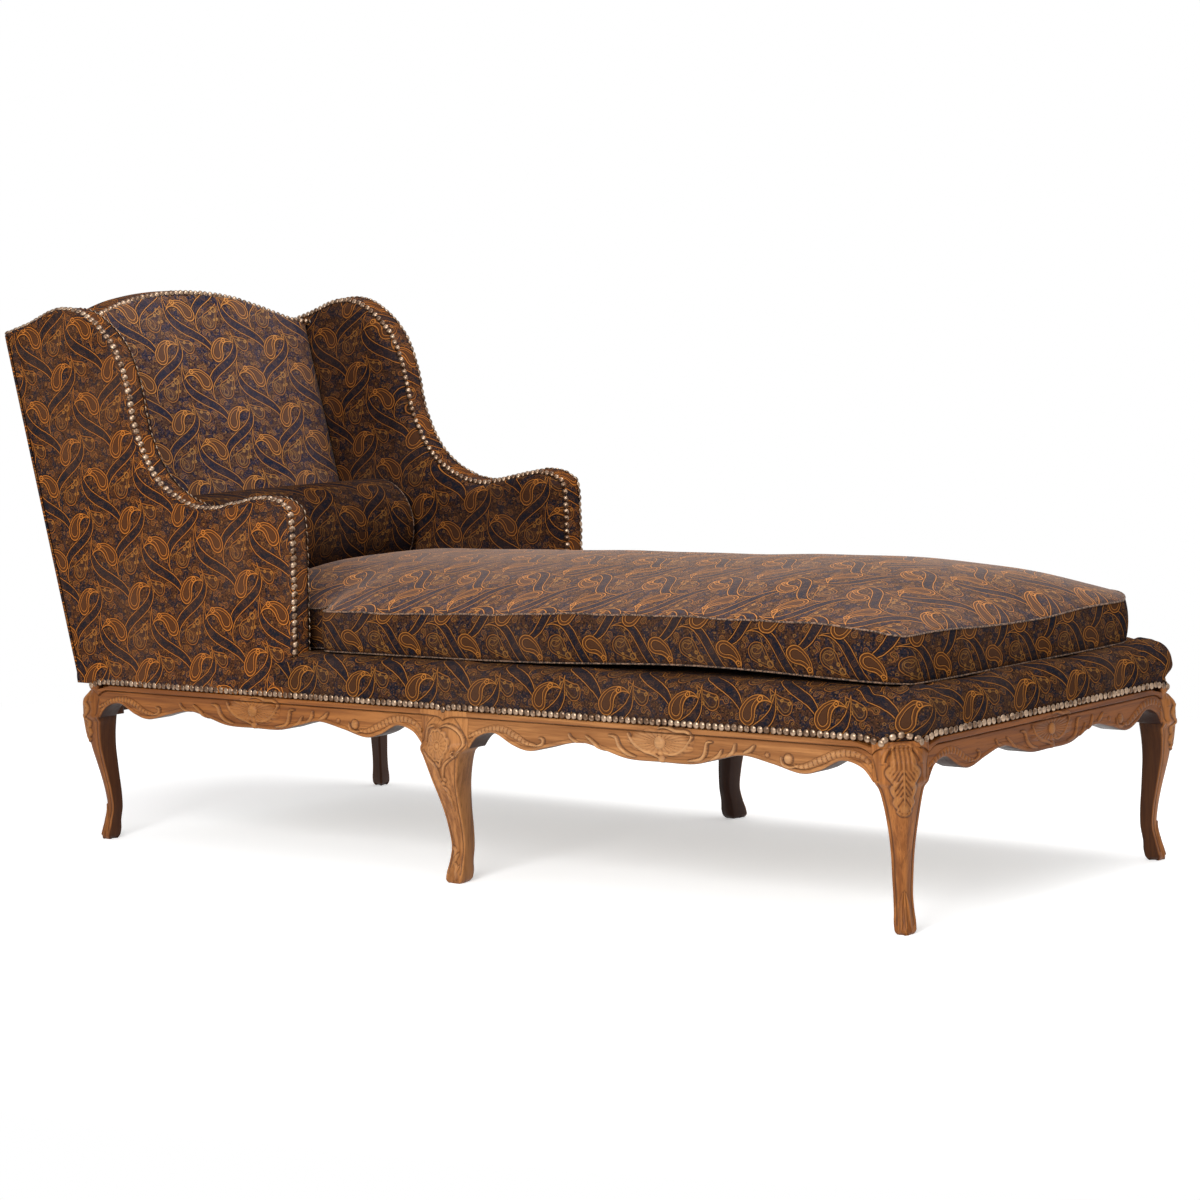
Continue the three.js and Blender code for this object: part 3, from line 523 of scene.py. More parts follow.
BLUR = 2  # cells on each side over which a relief is averaged to find its hollows
GROOVE_WIDTH, GROOVE_DEPTH, BEAD_EASE = 0.0012, 0.0020, 0.0022


def ridge(points, curve, width, height, pinch):
    """A rounded ridge along a curve, thinner at its ends, and the share along it of each point."""
    gap, share = line_distance(points, curve)
    wide = width * np.sin(np.pi * np.clip(share * 0.94 + 0.03, 0, 1)) ** 0.5
    wide = np.maximum(wide, width * pinch)
    return height * np.sqrt(np.clip(1 - (gap / wide) ** 2, 0, 1)), share


def boss(points, centre, radius, height):
    gap = np.linalg.norm(points - np.asarray(centre), axis=1) / radius
    return height * np.sqrt(np.clip(1 - gap ** 2, 0, 1))


def strokes(points, table, scale=(1, 1)):
    """Reliefs of chiselled strokes; a row of the table has width, height and the line's places."""
    return [ridge(points, catmull(np.multiply(line, scale), 16), width, height, 0.12)[0]
            for width, height, *line in table]


def gadroon(points, curve, width, height, pitch):
    """A strip of small slanted lobes along a curve."""
    line = catmull(curve, 40)
    body, share = ridge(points, line, width, height, 0.35)
    return body * (0.45 + 0.55 * np.abs(np.sin(np.pi * share * along(line)[-1] / pitch)))


def shell(points, centre, radius, height, squash):
    """A rocaille shell: ribs that fan out from a boss, with a lobed rim."""
    d = (points - np.asarray(centre)) / (radius, radius * squash)
    reach = np.linalg.norm(d, axis=1)
    angle = np.arctan2(d[:, 1], d[:, 0])
    rim = 0.9 + 0.12 * np.abs(np.sin(angle * 5.5 + 0.4)) + 0.1 * np.cos(angle * 2)
    share = reach / rim
    ribs = 0.62 + 0.38 * np.abs(np.sin(angle * 11))
    body = np.clip(1 - share ** 6, 0, 1) * (0.35 + 0.65 * share) * ribs
    return height * np.maximum(body, 0) + boss(points, centre, radius * 0.17, height * 1.25)


def blurred(field):
    """A field on a grid, averaged over squares of cells."""
    width = 2 * BLUR + 1
    for axis in (0, 1):
        padded = np.pad(field, [(BLUR, BLUR) if a == axis else (0, 0) for a in (0, 1)], mode="edge")
        total = np.insert(np.cumsum(padded, axis=axis), 0, 0, axis=axis)
        size = field.shape[axis]
        field = (np.take(total, range(width, size + width), axis) - np.take(total, range(size), axis)) / width
    return field


def crevices(relief, depth, below):
    """How far each place lies in a hollow of the relief, from 0 to 1."""
    return np.clip((blurred(relief) - relief) / depth, 0, 1) * (relief < below)


def beaded(height, drop, cut):
    """The groove under the bead along the top, from 0 to 1, and the relief of both in metres."""
    line = height - SHOW_TOP + BEAD_HEIGHT + drop
    groove = np.exp(-(line / GROOVE_WIDTH) ** 2) * cut
    return groove, BEAD_PROUD * (smoothstep(0, BEAD_EASE, line) - 1) - GROOVE_DEPTH * groove


def end_dip(place, end):
    """How far the top of the rails falls near a corner leg that starts at the place end."""
    return DIP_DEPTH * np.clip((place - (end - DIP_LENGTH)) / DIP_LENGTH, 0, 1)


# Rails. Outer face towards +Y of their own axes; g runs left to right for who looks at it.

# Half of the lower edge: place as a share of the length, height as a share of the wave
APRON = ((0, 0), (0.08, 0.03), (0.14, 0.55), (0.2, 1), (0.27, 0.55), (0.335, 0), (0.38, 0.35),
         (0.43, 1.2), (0.475, 0.8), (0.5, -0.2))
BAY = HALF_LENGTH - CORNER_BLOCK - MIDDLE_BLOCK - 2 * FIT
END_RAIL = 2 * (HALF_WIDTH - CORNER_BLOCK - FIT)
CARVED_LENGTH = 0.829  # length of the rail for which the carving is drawn
RAIL_STROKES = (
    (3.0, 5.2, (2, 296), (18, 298), (38, 293), (58, 293), (67, 285), (58, 272)),
    (3.0, 4.6, (64, 281), (50, 264), (26, 254), (8, 257)),
    (3.4, 5.2, (-64, 284), (-54, 269), (-34, 258), (-12, 252), (4, 246)),
    (2.8, 4.8, (-262, 250), (-249, 254), (-247, 262), (-255, 264)),
    (3.4, 4.8, (-190, 275), (-184, 267), (-164, 259), (-140, 252)),
    (3.6, 5.0, (-153, 274), (-138, 264), (-122, 252), (-104, 245)),
    (3.6, 5.2, (-104, 278), (-90, 275), (-84, 262), (-70, 251), (-50, 246)),
    (3.4, 5.2, (107, 279), (97, 277), (92, 260), (82, 250), (58, 246)),
    (3.6, 4.4, (126, 268), (118, 257), (104, 250)), (3.8, 4.6, (153, 279), (148, 266), (136, 257)),
    (3.8, 4.6, (191, 279), (182, 271), (170, 266)),
    (2.8, 4.4, (242, 264), (245, 253), (258, 249), (270, 251)))
RAIL_BOSSES = ((4, 245.5, 7.5, 4.6), (215, 266, 4.0, 3.4), (256, 262, 8.4, 5.6))
RAIL_GADROONS = (
    (6.0, 8.5, (-414, 256), (-382, 268), (-352, 274), (-329, 272), (-308, 264), (-286, 254), (-262, 250)),
    (6.6, 9.5, (267, 252), (286, 252), (318, 264), (350, 276), (379, 278), (400, 272), (414, 260)))
EDGE_ROUND, RELIEF_MOST, HEEL = 0.0016, 0.006, 0.001


def apron_edge(length, plain):
    """Height of the lower edge as a function of the place along the rail."""
    if plain:
        return lambda g: np.full_like(g, APRON_LOW)
    line = mirrored([(share * length, APRON_LOW + up * APRON_WAVE) for share, up in APRON], 400)
    line = line[np.argsort(line[:, 0])]
    return lambda g: np.interp(g, line[:, 0], line[:, 1])


def rail_relief(points, rise, stretch):
    """Relief of a rail's face over its plain field; rise is the height over the lower edge."""
    scale = (stretch, 1)
    carving = strokes(points, RAIL_STROKES, scale)
    carving += [2.2 * np.sqrt(np.clip(1 - ((rise - 3.5) / 3.5) ** 2, 0, 1)),
                shell(points, (2, 272), 64 * stretch ** 0.5, 5.0, 0.40)]
    carving += [boss(points, (x * stretch, z), radius, height) for x, z, radius, height in RAIL_BOSSES]
    carving += [gadroon(points, np.multiply(line, scale), width, 4.2, pitch)
                for width, pitch, *line in RAIL_GADROONS]
    return np.max(carving, axis=0)


def rail(name, length, turn, place, material, ends, depth=1.0):
    """A rail with carving of some depth on its face; ends are those that meet a corner leg."""
    edge = apron_edge(length, depth == 0)
    columns, levels = int(length / 0.0013), 72
    x = np.linspace(-length / 2, length / 2, columns)
    low = edge(x)
    top = SHOW_TOP - sum(end_dip(-end * x, length / 2) for end in ends)
    share, tall = np.linspace(0, 1, levels), (top - low)[:, None]
    z = low[:, None] + share * tall
    g = np.repeat(-x[:, None], levels, 1)
    points = joined(g.ravel(), z.ravel()) / MM
    rise = (z - edge(g)).ravel() / MM
    relief = rail_relief(points, rise, length / CARVED_LENGTH).reshape(z.shape) * MM * depth
    fall = sum(0.011 * np.clip(1 - (length / 2 - end * g) / 0.03, 0, 1) ** 2 for end in ends)
    groove, field = beaded(z, fall, depth > 0)
    face = field + relief - EDGE_ROUND * np.clip(1 - np.minimum(share, 1 - share) * tall / EDGE_ROUND, 0, 1) ** 2
    back = [joined(x, y, height) for y, height in (
        (-REBATE, top), (-REBATE, RAIL_TOP), (-RAIL_THICK, RAIL_TOP), (-RAIL_THICK, low + HEEL),
        (-RAIL_THICK + HEEL, low))]
    ring = np.concatenate([joined(x[:, None], np.minimum(face, RELIEF_MOST), z), np.stack(back, 1)], 1)
    behind = np.zeros((columns, len(back)))
    # inner is painted shade on the lowest edge of the face and on the rail's back, top and underside
    inner = np.concatenate([np.clip(1 - share * tall / 0.0012, 0, 1), behind + 1], 1)
    inner[:, levels] = 0
    hollow = np.maximum(crevices(relief, 0.8 * MM, 2.2 * MM), groove)
    worn = np.clip(relief / (4.5 * MM), 0, 1) ** 2
    c, s = math.cos(turn), math.sin(turn)
    verts = ring.reshape(-1, 3) @ np.array([[c, s, 0], [-s, c, 0], [0, 0, 1]]) + (*place, 0)
    carved_piece(name, verts, closed_faces(*ring.shape[:2]), material, {
        "hollow": np.concatenate([hollow, behind], 1), "worn": np.concatenate([worn, behind], 1), "inner": inner})


for side, sign in SIDES:
    for bay, way in ENDS:
        middle = way * (MIDDLE_BLOCK + FIT + BAY / 2)
        rail(f"rail_{bay}_{side}", BAY, math.pi if sign < 0 else 0.0, (middle, sign * HALF_WIDTH), OAK_X,
             (-way * sign,))
rail("foot_rail", END_RAIL, -math.pi / 2, (HALF_LENGTH, 0), OAK_Y, (-1, 1), 0.62)
rail("head_rail", END_RAIL, math.pi / 2, (-HALF_LENGTH, 0), OAK_Y, (-1, 1), 0)


# Legs. x points outward from the seat, a across it, and x = 0 is the corner or the face of the rails.

# Up the leg to the knee: height, how far forward, width and depth between ankle and knee
LEG = np.array((
    (0, 0.49, 0.04, 0.2), (0.07, 0.34, 0.07, 0.18), (0.14, 0.18, 0.02, 0.04), (0.24, 0.02, 0, 0),
    (0.36, 0.11, 0.04, 0.08), (0.48, 0.3, 0.09, 0.2), (0.6, 0.54, 0.19, 0.38), (0.7, 0.74, 0.32, 0.54),
    (0.8, 0.88, 0.48, 0.7), (0.88, 0.96, 0.64, 0.84), (0.94, 1, 0.84, 0.94), (1, 1, 1, 1),
    (1.08, 0.97, 1, 1), (1.19, 0.62, 1, 1)))
KNEE_HEIGHT, KNEE_DEPTH, ANKLE_WIDTH, ANKLE_DEPTH = 0.250, 0.060, 0.031, 0.029
BLOCK_LOW, BLOCK_FULL, BLOCK_BACK = 0.226, 0.246, 0.236
CORNER_FACE = CORNER_CUT / math.sqrt(2)
CORNER_ARRIS = CORNER_BLOCK / math.sqrt(2)
TOE_ROUND, TOE_RISE = 0.0040, 0.008
MIDDLE_STROKES = (
    (2.8, 4.0, (4, 271), (14, 275), (30, 271), (42, 258), (45, 240), (39, 226), (31, 222), (28, 228), (33, 231)),
    (2.6, 3.4, (-10, 273), (-24, 270), (-34, 258), (-37, 244)),
    (2.4, 3.4, (31, 221), (20, 215), (9, 206), (4, 190), (3, 184)),
    (2.4, 3.4, (-36, 230), (-28, 218), (-14, 206), (-7, 194), (-5, 184)),
    (2.8, 3.0, (-9, 214), (-3, 204), (3, 214)), (3.6, 3.0, (-3, 168), (4, 163), (9, 154)),
    (3.4, 2.8, (2, 158), (5, 150), (4, 142)), (2.8, 2.4, (8, 148), (7, 139), (9, 127)),
    (3.8, 3.0, (-12, 62), (-5, 54), (-6, 44)), (3.8, 3.0, (4, 50), (-2, 42), (-5, 32)),
    (3.6, 2.8, (-6, 36), (2, 28), (4, 16)), (3.2, 2.4, (9, 30), (3, 20), (8, 8)))
MIDDLE_BOSSES = ((-2, 240, 5.2, 3.8), (-6, 181, 3.8, 3.0), (5, 181, 3.8, 3.0), (0, 174, 4.2, 3.2))
CORNER_STROKES = (  # on both halves of the face
    (3.8, 4.8, (8, 240), (17, 229), (13, 214)), (3.6, 4.6, (14, 266), (24, 254), (20, 242)),
    (3.0, 4.0, (5, 216), (12, 208), (11, 199)), (2.4, 2.2, (2, 64), (6, 42), (7, 20), (9, 5)))
CORNER_RIBS = ((2.2, 2.2, (0, 66), (0, 40), (0, 8)), (2.0, 4.6, (0, 268), (0, 235), (0, 196)))
# Incised lines on one half of a face, from the crotch up
MIDDLE_LINES = catmull(((53, 240), (49, 252), (44, 262), (36, 275), (24, 286)), 24)
CORNER_LINES = catmull(((37, 240), (38.5, 254), (40.5, 266), (43.8, 277)), 24)


def middle_leg_relief(p):
    """Cartouche, C-scrolls, bellflowers and a toe leaf on a middle leg's face."""
    d = (p - (-2, 240)) / (0.92, 1.08)
    reach = np.linalg.norm(d, axis=1)
    angle = np.arctan2(d[:, 1], d[:, 0])
    rim = 23 + 2.4 * np.abs(np.sin(angle * 5.5)) - 4 * np.exp(-((angle + 0.7) / 0.6) ** 2)
    disc = 2.2 * smoothstep(1.04, 0.86, reach / rim) * (0.72 + 0.28 * np.abs(np.sin(angle * 8)))
    parts = [3.4 * np.exp(-((reach - rim) / 2.2) ** 2), disc, 3.6 * np.exp(-((reach - 8) / 1.5) ** 2)]
    parts += [boss(p, (a, z), radius, height) for a, z, radius, height in MIDDLE_BOSSES]
    return np.max(parts + strokes(p, MIDDLE_STROKES), axis=0)


def corner_leg_relief(p):
    """Ribbed leaf under an arch on the knee, and a small leaf on the toe."""
    a, z = p[:, 0], p[:, 1]
    heights = (150, 184, 192, 205, 220, 236, 252, 270, 288, 300)
    widths = (0, 0, 10, 14, 15, 18, 21, 21, 17, 13)
    half = np.interp(z, heights, widths) + 3.6 * np.abs(np.sin(z * 0.16)) * (z < 262) * (z > 186)
    share = np.abs(a) / np.maximum(half, 0.1)
    body = smoothstep(1.05, 0.85, share) * (z > 184)
    ribs = 0.9 * np.cos(a * 2 * math.pi / 7.0) * smoothstep(250, 264, z)
    ribs = ribs + 0.9 * np.cos((z + 1.5 * np.abs(a)) * 2 * math.pi / 10) * smoothstep(262, 250, z)
    curl = 1.8 * np.exp(-((share - 0.86) / 0.14) ** 2)
    eye = np.linalg.norm(p - (0, 197), axis=1)
    arch = np.hypot(a / 31, (z - 262) / 33)
    parts = [body * (2.2 + ribs + curl) * smoothstep(298, 288, z), boss(p, (0, 197), 8.5, 4.4),
             3.4 * np.exp(-((eye - 9.5) / 1.6) ** 2) * (z < 200),
             2.2 * np.exp(-((arch - 1) / 0.07) ** 2) * (z > 266) * (z < 296)]
    parts += strokes(p, CORNER_RIBS) + strokes(p, CORNER_STROKES) + strokes(p, CORNER_STROKES, (-1, 1))
    cut = np.exp(-((arch - 0.85) / 0.045) ** 2) * (z > 268) * (z < 294) * (np.abs(a) > 13)
    return np.max(parts, axis=0) - 2.6 * cut


def leg(name, centre, outward, corner, inside=0.85):
    """A leg as one closed loft: front with its carving, side faces, back, and the block on top.
    inside says how much painted shade, with some real dark patina, darkens its sides and back."""
    rows, across = 236, 84
    if corner:
        setback, sweep, knee_width, relief_of, lines = 0.016, 0.032, 0.086, corner_leg_relief, CORNER_LINES
        face, arris, reach_back, tuck = -CORNER_FACE, CORNER_ARRIS, CORNER_BLOCK * math.sqrt(2), 0.10
    else:
        setback, sweep, knee_width, relief_of, lines = 0.024, 0.038, 0.108, middle_leg_relief, MIDDLE_LINES
        face, arris, reach_back, tuck = 0.0, MIDDLE_BLOCK, RAIL_THICK, 0.72
    # Values up the leg, each a column
    z = np.linspace(0, SHOW_TOP, rows)[:, None]
    shares = catmull(LEG, 600)
    shares = shares[np.argsort(shares[:, 0])]
    forward, wide, deep = np.split(sampled(z[:, 0] / KNEE_HEIGHT, shares[:, 0], shares[:, 1:]), 3, 1)
    lead = face - setback + sweep * forward
    depth = ANKLE_DEPTH + (KNEE_DEPTH - ANKLE_DEPTH) * deep
    block = smoothstep(BLOCK_LOW, BLOCK_FULL, z)
    half = (ANKLE_WIDTH + (knee_width - ANKLE_WIDTH) * wide) / 2 * (1 - block) + arris * block
    # Values over the face
    u = np.linspace(-1, 1, across)
    a = half * u
    height = np.repeat(z, across, 1)
    if corner:
        drop = 0.011 * np.clip((np.abs(a) - 0.030) / 0.0138, 0, 1) ** 2
        groove, field = beaded(height, drop, smoothstep(0.026, 0.030, np.abs(a)))
        slope = np.abs(a) - (0.22 * half * (1 - block) + CORNER_FACE * block)
        leggy = lead - 0.5 * (slope + np.sqrt(slope ** 2 + 0.004 ** 2))
        blocky = -CORNER_FACE - np.maximum(0, np.abs(a) - CORNER_FACE) + field * 1.2
    else:
        groove, field = beaded(height, 0.007 * np.exp(-np.abs(a) / 0.010), 1)
        leggy, blocky = lead + 0.05 * half * (1 - u ** 2), field
    swell = (lead - face + 0.003) * (1 - smoothstep(0.18, 1.0, np.abs(u))) * smoothstep(0.294, 0.268, height)
    front = leggy * (1 - block) + (blocky + swell) * block
    points = joined(a.ravel(), height.ravel()) / MM
    relief = relief_of(points).reshape(a.shape)
    gap = np.minimum(*(line_distance(points, lines * (way, 1))[0] for way in (-1, 1))).reshape(a.shape)
    beside = np.abs(np.abs(a) - (half - 0.0042)) / MM
    beside = np.where((height < BLOCK_BACK) & (height > 0.014), beside, 9)
    incised = np.exp(-np.minimum(gap, beside) ** 2)
    front = front + (relief - 1.4 * incised) * MM * smoothstep(0.2975, 0.294, height)
    # Round the leg: face, one side, the other side
    edge_x = front[:, [0, -1]].mean(1, keepdims=True)
    back = np.where(z > BLOCK_BACK, -reach_back, lead - depth)
    t = np.linspace(0, 1, 12)[1:]
    side_x = edge_x + (back - edge_x) * t
    side_a = half * (1 - t * (1 - tuck)) if corner else half * (1 - (1 - tuck) * t ** 2 * (1 - block))
    ring_x = np.concatenate([front, side_x, side_x[:, ::-1]], 1)
    ring_a = np.concatenate([a, side_a, -side_a[:, ::-1]], 1)
    rim = TOE_ROUND * np.clip((TOE_RISE - z) / TOE_RISE, 0, 1) ** 2
    ring_x = ring_x - np.sign(ring_x - (lead - depth / 2)) * rim
    ring_a = ring_a - np.sign(ring_a) * rim
    # The block goes on above the show-wood, set back by the rebate
    top_a = ring_a[-1]
    rebated = -CORNER_FACE - REBATE - np.maximum(0, np.abs(top_a) - CORNER_FACE) if corner else -REBATE
    top_x = np.minimum(ring_x[-1], rebated)
    ring_x, ring_a = np.vstack([ring_x, top_x, top_x]), np.vstack([ring_a, top_a, top_a])
    out = np.array(outward) / math.hypot(*outward)
    flat = ring_x.reshape(-1, 1) * out + ring_a.reshape(-1, 1) * (-out[1], out[0]) + centre
    verts = np.column_stack([flat, np.repeat(np.append(z, [SHOW_TOP, RAIL_TOP]), ring_x.shape[1])])
    hollow, worn, inner = np.zeros((3, *ring_x.shape))
    hollow[:rows, :across] = np.maximum(np.maximum(crevices(relief, 0.9, 2), incised), groove * block)
    worn[:rows, :across] = np.clip(relief / 4, 0, 1) ** 2
    # Painted shade, with some dark patina, on the sides and back
    inner[:, across:] = inside
    carved_piece(name, verts, closed_faces(*ring_x.shape), OAK_Z, {"hollow": hollow, "worn": worn, "inner": inner})


for side, sign in SIDES:
    for end, way in ENDS:
        leg(f"leg_{end}_{side}", (way * HALF_LENGTH, sign * HALF_WIDTH), (way, sign), True)
    # Painted shade on a middle leg's sides: slight on the near one, near black on the far one, which stands in
    # shadow
    leg(f"leg_middle_{side}", (0, sign * HALF_WIDTH), (0, sign), False, 0.20 if side == "near" else 0.97)


# The inner frame keeps the CAD's meshes

BEECH_PAIRS = ("corner_block_head", "corner_block_foot", "back_post", "arm_post", "arm_rail", "wing_rail")
for material, names in (
        (BEECH, ["cross_rail", "crest_rail", "lower_back_rail"]),
        (BEECH, [f"{part}_{side}" for side, sign in SIDES for part in BEECH_PAIRS]),
        (WEBBING, ["seat_webbing", "back_webbing"]), (HESSIAN, ["seat_hessian", "back_hessian"])):
    for name in names:
        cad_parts[name].data.materials.clear()
        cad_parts[name].data.materials.append(material)


# Covers in general

EDGE_DROP, COVER_FOOT = 0.0063, 0.300  # covers end this far below a band's edge, and at this height
BAND_FULL = 0.0045


def rear_at(z):
    """Place of the raked back's outer face at a height."""
    return -HALF_LENGTH - RAKE * (z - NAIL_LINE)


def fall(place, power):
    """1 in the middle of a pad, and 0 at its edge and beyond."""
    return 1 - np.minimum(1, np.abs(place)) ** power


def closed_panel(name, outline, centre, rims, height, shares, place, uv_of, material, replaces):
    """A panel of rings from its back rim to its middle. rims has how far each first ring moves inward
    and its height; the later rings shrink about the centre by the shares, at height(ring, share)."""
    rings_ = [(moved, 1.0, out) for moved, out in rims]
    rings_ += [(rims[-1][0], share, None) for share in shares]
    flats, layers = [], []
    for moved, share, out in rings_:
        ring = centre + (outline - edge_normals(outline, True) * moved - centre) * share
        flats.append(ring)
        layers.append(place(ring, height(ring, share) if out is None else out))
    count, last = len(outline), (len(layers) - 1) * len(outline)
    faces = grid_faces(len(layers), count, wrap=True) + [list(range(last, last + count))]
    return piece(name, np.concatenate(layers), faces, material, uv=uv_of(np.concatenate(flats)),
                 replaces=replaces)


def band(name, count, base, rim, place, uv_of, replaces):
    """A strip of cloth over an edge, full between its rims. place(share, rise) and uv_of(share, over)
    give a row's places and UVs: share goes from -1 to 1 across the band, over is cloth past its edge."""
    rows = [(share, BAND_FULL * (1 - share ** 4) - base, 0.0) for share in np.linspace(-1, 1, count)]
    rows = [(-1, -rim, -rim), *rows, (1, -rim, rim)]
    verts = [place(share, rise) for share, rise, over in rows]
    uvs = [uv_of(share, over) for share, rise, over in rows]
    piece(name, np.concatenate(verts), grid_faces(len(rows), len(verts[0])), PAISLEY,
          uv=np.concatenate(uvs), replaces=replaces)


# Wings and arms

# Top edge from the head end to the arm's front: shares of the arm's length and the wing's rise
WING = ((-0.16, 0.966), (-0.017, 1), (0.112, 0.983), (0.235, 0.902), (0.294, 0.799), (0.332, 0.664),
        (0.412, 0.552), (0.524, 0.492), (0.639, 0.471), (0.777, 0.488), (0.893, 0.501), (0.979, 0.484),
        (1.012, 0.423), (1, 0.1))
WING_HUB = np.array([-HALF_LENGTH + ARM_LENGTH * 0.28, 0.555])
BAND_HALF, BAND_MIDDLE = (SIDE_PLANE - INNER_PLANE) / 2, (SIDE_PLANE + INNER_PLANE) / 2
SIDE_UV = (0.843, 0.512)  # place on the side cover where the pattern starts


def wing_line():
    """Top edge of wing and arm from the head end to the deck: points (x, z)."""
    places = [(a * ARM_LENGTH - HALF_LENGTH, NAIL_LINE + up * WING_RISE) for a, up in WING]
    line = catmull([(rear_at(VALLEY_HEIGHT), VALLEY_HEIGHT)] + places, 400)
    line = line[int(np.argmax(line[:, 0] > rear_at(line[:, 1]))):]
    return resampled(np.vstack([(rear_at(line[0, 1]), line[0, 1]), line]), 0.006)


WING_LINE = wing_line()
WING_NORMAL = edge_normals(WING_LINE)


def side_outline(forward, foot):
    """Outline of a side cover or pad under the edge band, from so far in front of the back's face."""
    line = WING_LINE - WING_NORMAL * EDGE_DROP
    line = line[line[:, 0] - rear_at(line[:, 1]) > forward]
    line = line[line[:, 1] > foot + 0.004]
    front_x, front_z = line[-1]
    rise = np.linspace(foot, line[0, 1], 70)[1:-1]
    return np.vstack([
        (rear_at(line[0, 1]) + forward, line[0, 1]), line, joined(front_x, np.linspace(front_z, foot, 14)[1:]),
        joined(np.linspace(front_x, rear_at(foot) + forward, 60)[1:], foot), joined(rear_at(rise) + forward, rise)])


for side, sign in SIDES:
    def outer_place(ring, out):
        flare = (HALF_WIDTH + 0.0006 - SIDE_PLANE) * smoothstep(0.348, 0.304, ring[:, 1])
        return joined(ring[:, 0], sign * (SIDE_PLANE - 0.0012 + out + flare), ring[:, 1])

    def band_place(share, rise):
        edge = WING_LINE + WING_NORMAL * rise
        return joined(edge[:, 0], sign * (BAND_MIDDLE + BAND_HALF * share), edge[:, 1])

    closed_panel(
        f"outer_side_{side}", side_outline(0.0053, COVER_FOOT), WING_HUB,
        ((0.0, -0.004), (0.0, 0.0), (0.0015, 0.0012)), lambda ring, share: 0.001 + 0.0035 * (1 - share ** 3),
        (0.97, 0.93, 0.86, 0.76, 0.64, 0.5, 0.34, 0.18), outer_place,
        lambda flat: laid(-sign * (flat[:, 0] + SIDE_UV[0]), flat[:, 1] - SIDE_UV[1]),
        PAISLEY, (f"side_cover_{side}",))
    # The inner wings take the velvet copy with painted shade
    made = closed_panel(
        f"inner_wing_{side}", side_outline(0.044, 0.348), WING_HUB,
        ((0.0, -0.004), (0.0, 0.003), (0.002, 0.006)),
        lambda ring, share: 0.006 + 0.027 * np.sqrt(np.clip(1 - share ** 4, 0, 1)),
        (0.985, 0.96, 0.92, 0.87, 0.8, 0.72, 0.63, 0.53, 0.42, 0.3, 0.18),
        lambda ring, out: joined(ring[:, 0], sign * (INNER_PLANE + 0.005 - out), ring[:, 1]),
        lambda flat: laid(sign * flat[:, 0], flat[:, 1]), PAISLEY_WINGS_PAINTED_SHADE, (f"wing_pad_{side}",))
    band(f"band_{side}", 17, 0.0042, 0.008, band_place,
         lambda share, over: joined(BAND_HALF * share + over, -along(WING_LINE)), (f"edge_band_{side}",))


# Back

# Half of the crest: shares of the half width and of the rise from the valley
CREST = ((0, 1), (0.14, 0.97), (0.28, 0.89), (0.42, 0.76), (0.56, 0.55), (0.7, 0.31), (0.85, 0.08), (1, 0))
CREST_LINE = mirrored([(a * INNER_PLANE, VALLEY_HEIGHT + up * (CREST_HEIGHT - VALLEY_HEIGHT))
                       for a, up in CREST], 300)[150:]


def crest_height(y):
    return np.interp(np.abs(y), CREST_LINE[:, 0], CREST_LINE[:, 1])


def back_outline(half, lower, foot):
    top_y = np.linspace(half, -half, 90)
    top = joined(top_y, crest_height(top_y) - lower)
    return np.vstack([
        top, joined(-half, np.linspace(top[-1, 1], foot, 50)[1:-1]), joined(np.linspace(-half, half, 60), foot),
        joined(half, np.linspace(foot, top[0, 1], 50)[1:-1])])


def on_back(ring, out):
    return joined(rear_at(ring[:, 1]) + out, ring[:, 0], ring[:, 1])


def slope_uv(flat):
    return flat * (1, math.hypot(1, RAKE))


closed_panel("outer_back", back_outline(SIDE_PLANE, EDGE_DROP, COVER_FOOT), np.array([0, 0.62]),
             ((0.0, 0.004), (0.0, 0.0012), (0.002, 0.0)), lambda ring, share: -0.004 * (1 - share ** 3),
             (0.96, 0.9, 0.8, 0.66, 0.5, 0.3), on_back, slope_uv, PAISLEY, ("outside_back",))

PAD_HALF, PAD_FOOT = PAD_INNER - FIT, 0.350
PAD_MIDDLE = (PAD_FOOT + VALLEY_HEIGHT) / 2


def back_height(ring, share):
    up = (ring[:, 1] - PAD_MIDDLE) / (VALLEY_HEIGHT + 0.06 - PAD_MIDDLE)
    return BACK_THICK + 0.022 * (fall(ring[:, 0] / PAD_HALF, 2.6) * fall(up, 2.6)) ** 0.6


# The inside back takes the velvet copy with painted light
made = closed_panel("inner_back", back_outline(PAD_HALF, 0.0066, PAD_FOOT), np.array([0, PAD_MIDDLE]),
                    ((0.0, BACK_THICK - 0.03), (0.0, BACK_THICK - 0.006), (0.004, BACK_THICK)), back_height,
                    (0.98, 0.95, 0.91, 0.86, 0.8, 0.73, 0.65, 0.56, 0.46, 0.35, 0.22, 0.1),
                    on_back, slope_uv, PAISLEY_BACK_PAINTED_LIGHT, ("back_pad",))

crest_y = np.linspace(-INNER_PLANE, INNER_PLANE, 140)
crest_z = crest_height(crest_y)
crest_line = joined(crest_y, crest_z)
crest_up = edge_normals(crest_line)


def crest_place(share, rise):
    return on_back(crest_line + crest_up * rise, (share + 1) / 2 * BACK_THICK)


band("band_crest", 15, BAND_FULL, 0.012, crest_place,
     lambda share, over: joined(along(crest_line), 0.9 - (share + 1) / 2 * BACK_THICK - over), ("crest_band",))


# Deck: border with a rolled edge, and the top under the cushion

DECK_SIDE, DECK_FOOT, DECK_START = HALF_WIDTH - 0.001, HALF_LENGTH - 0.001, ARM_FRONT - 0.045
DECK_FLAT = 0.3755
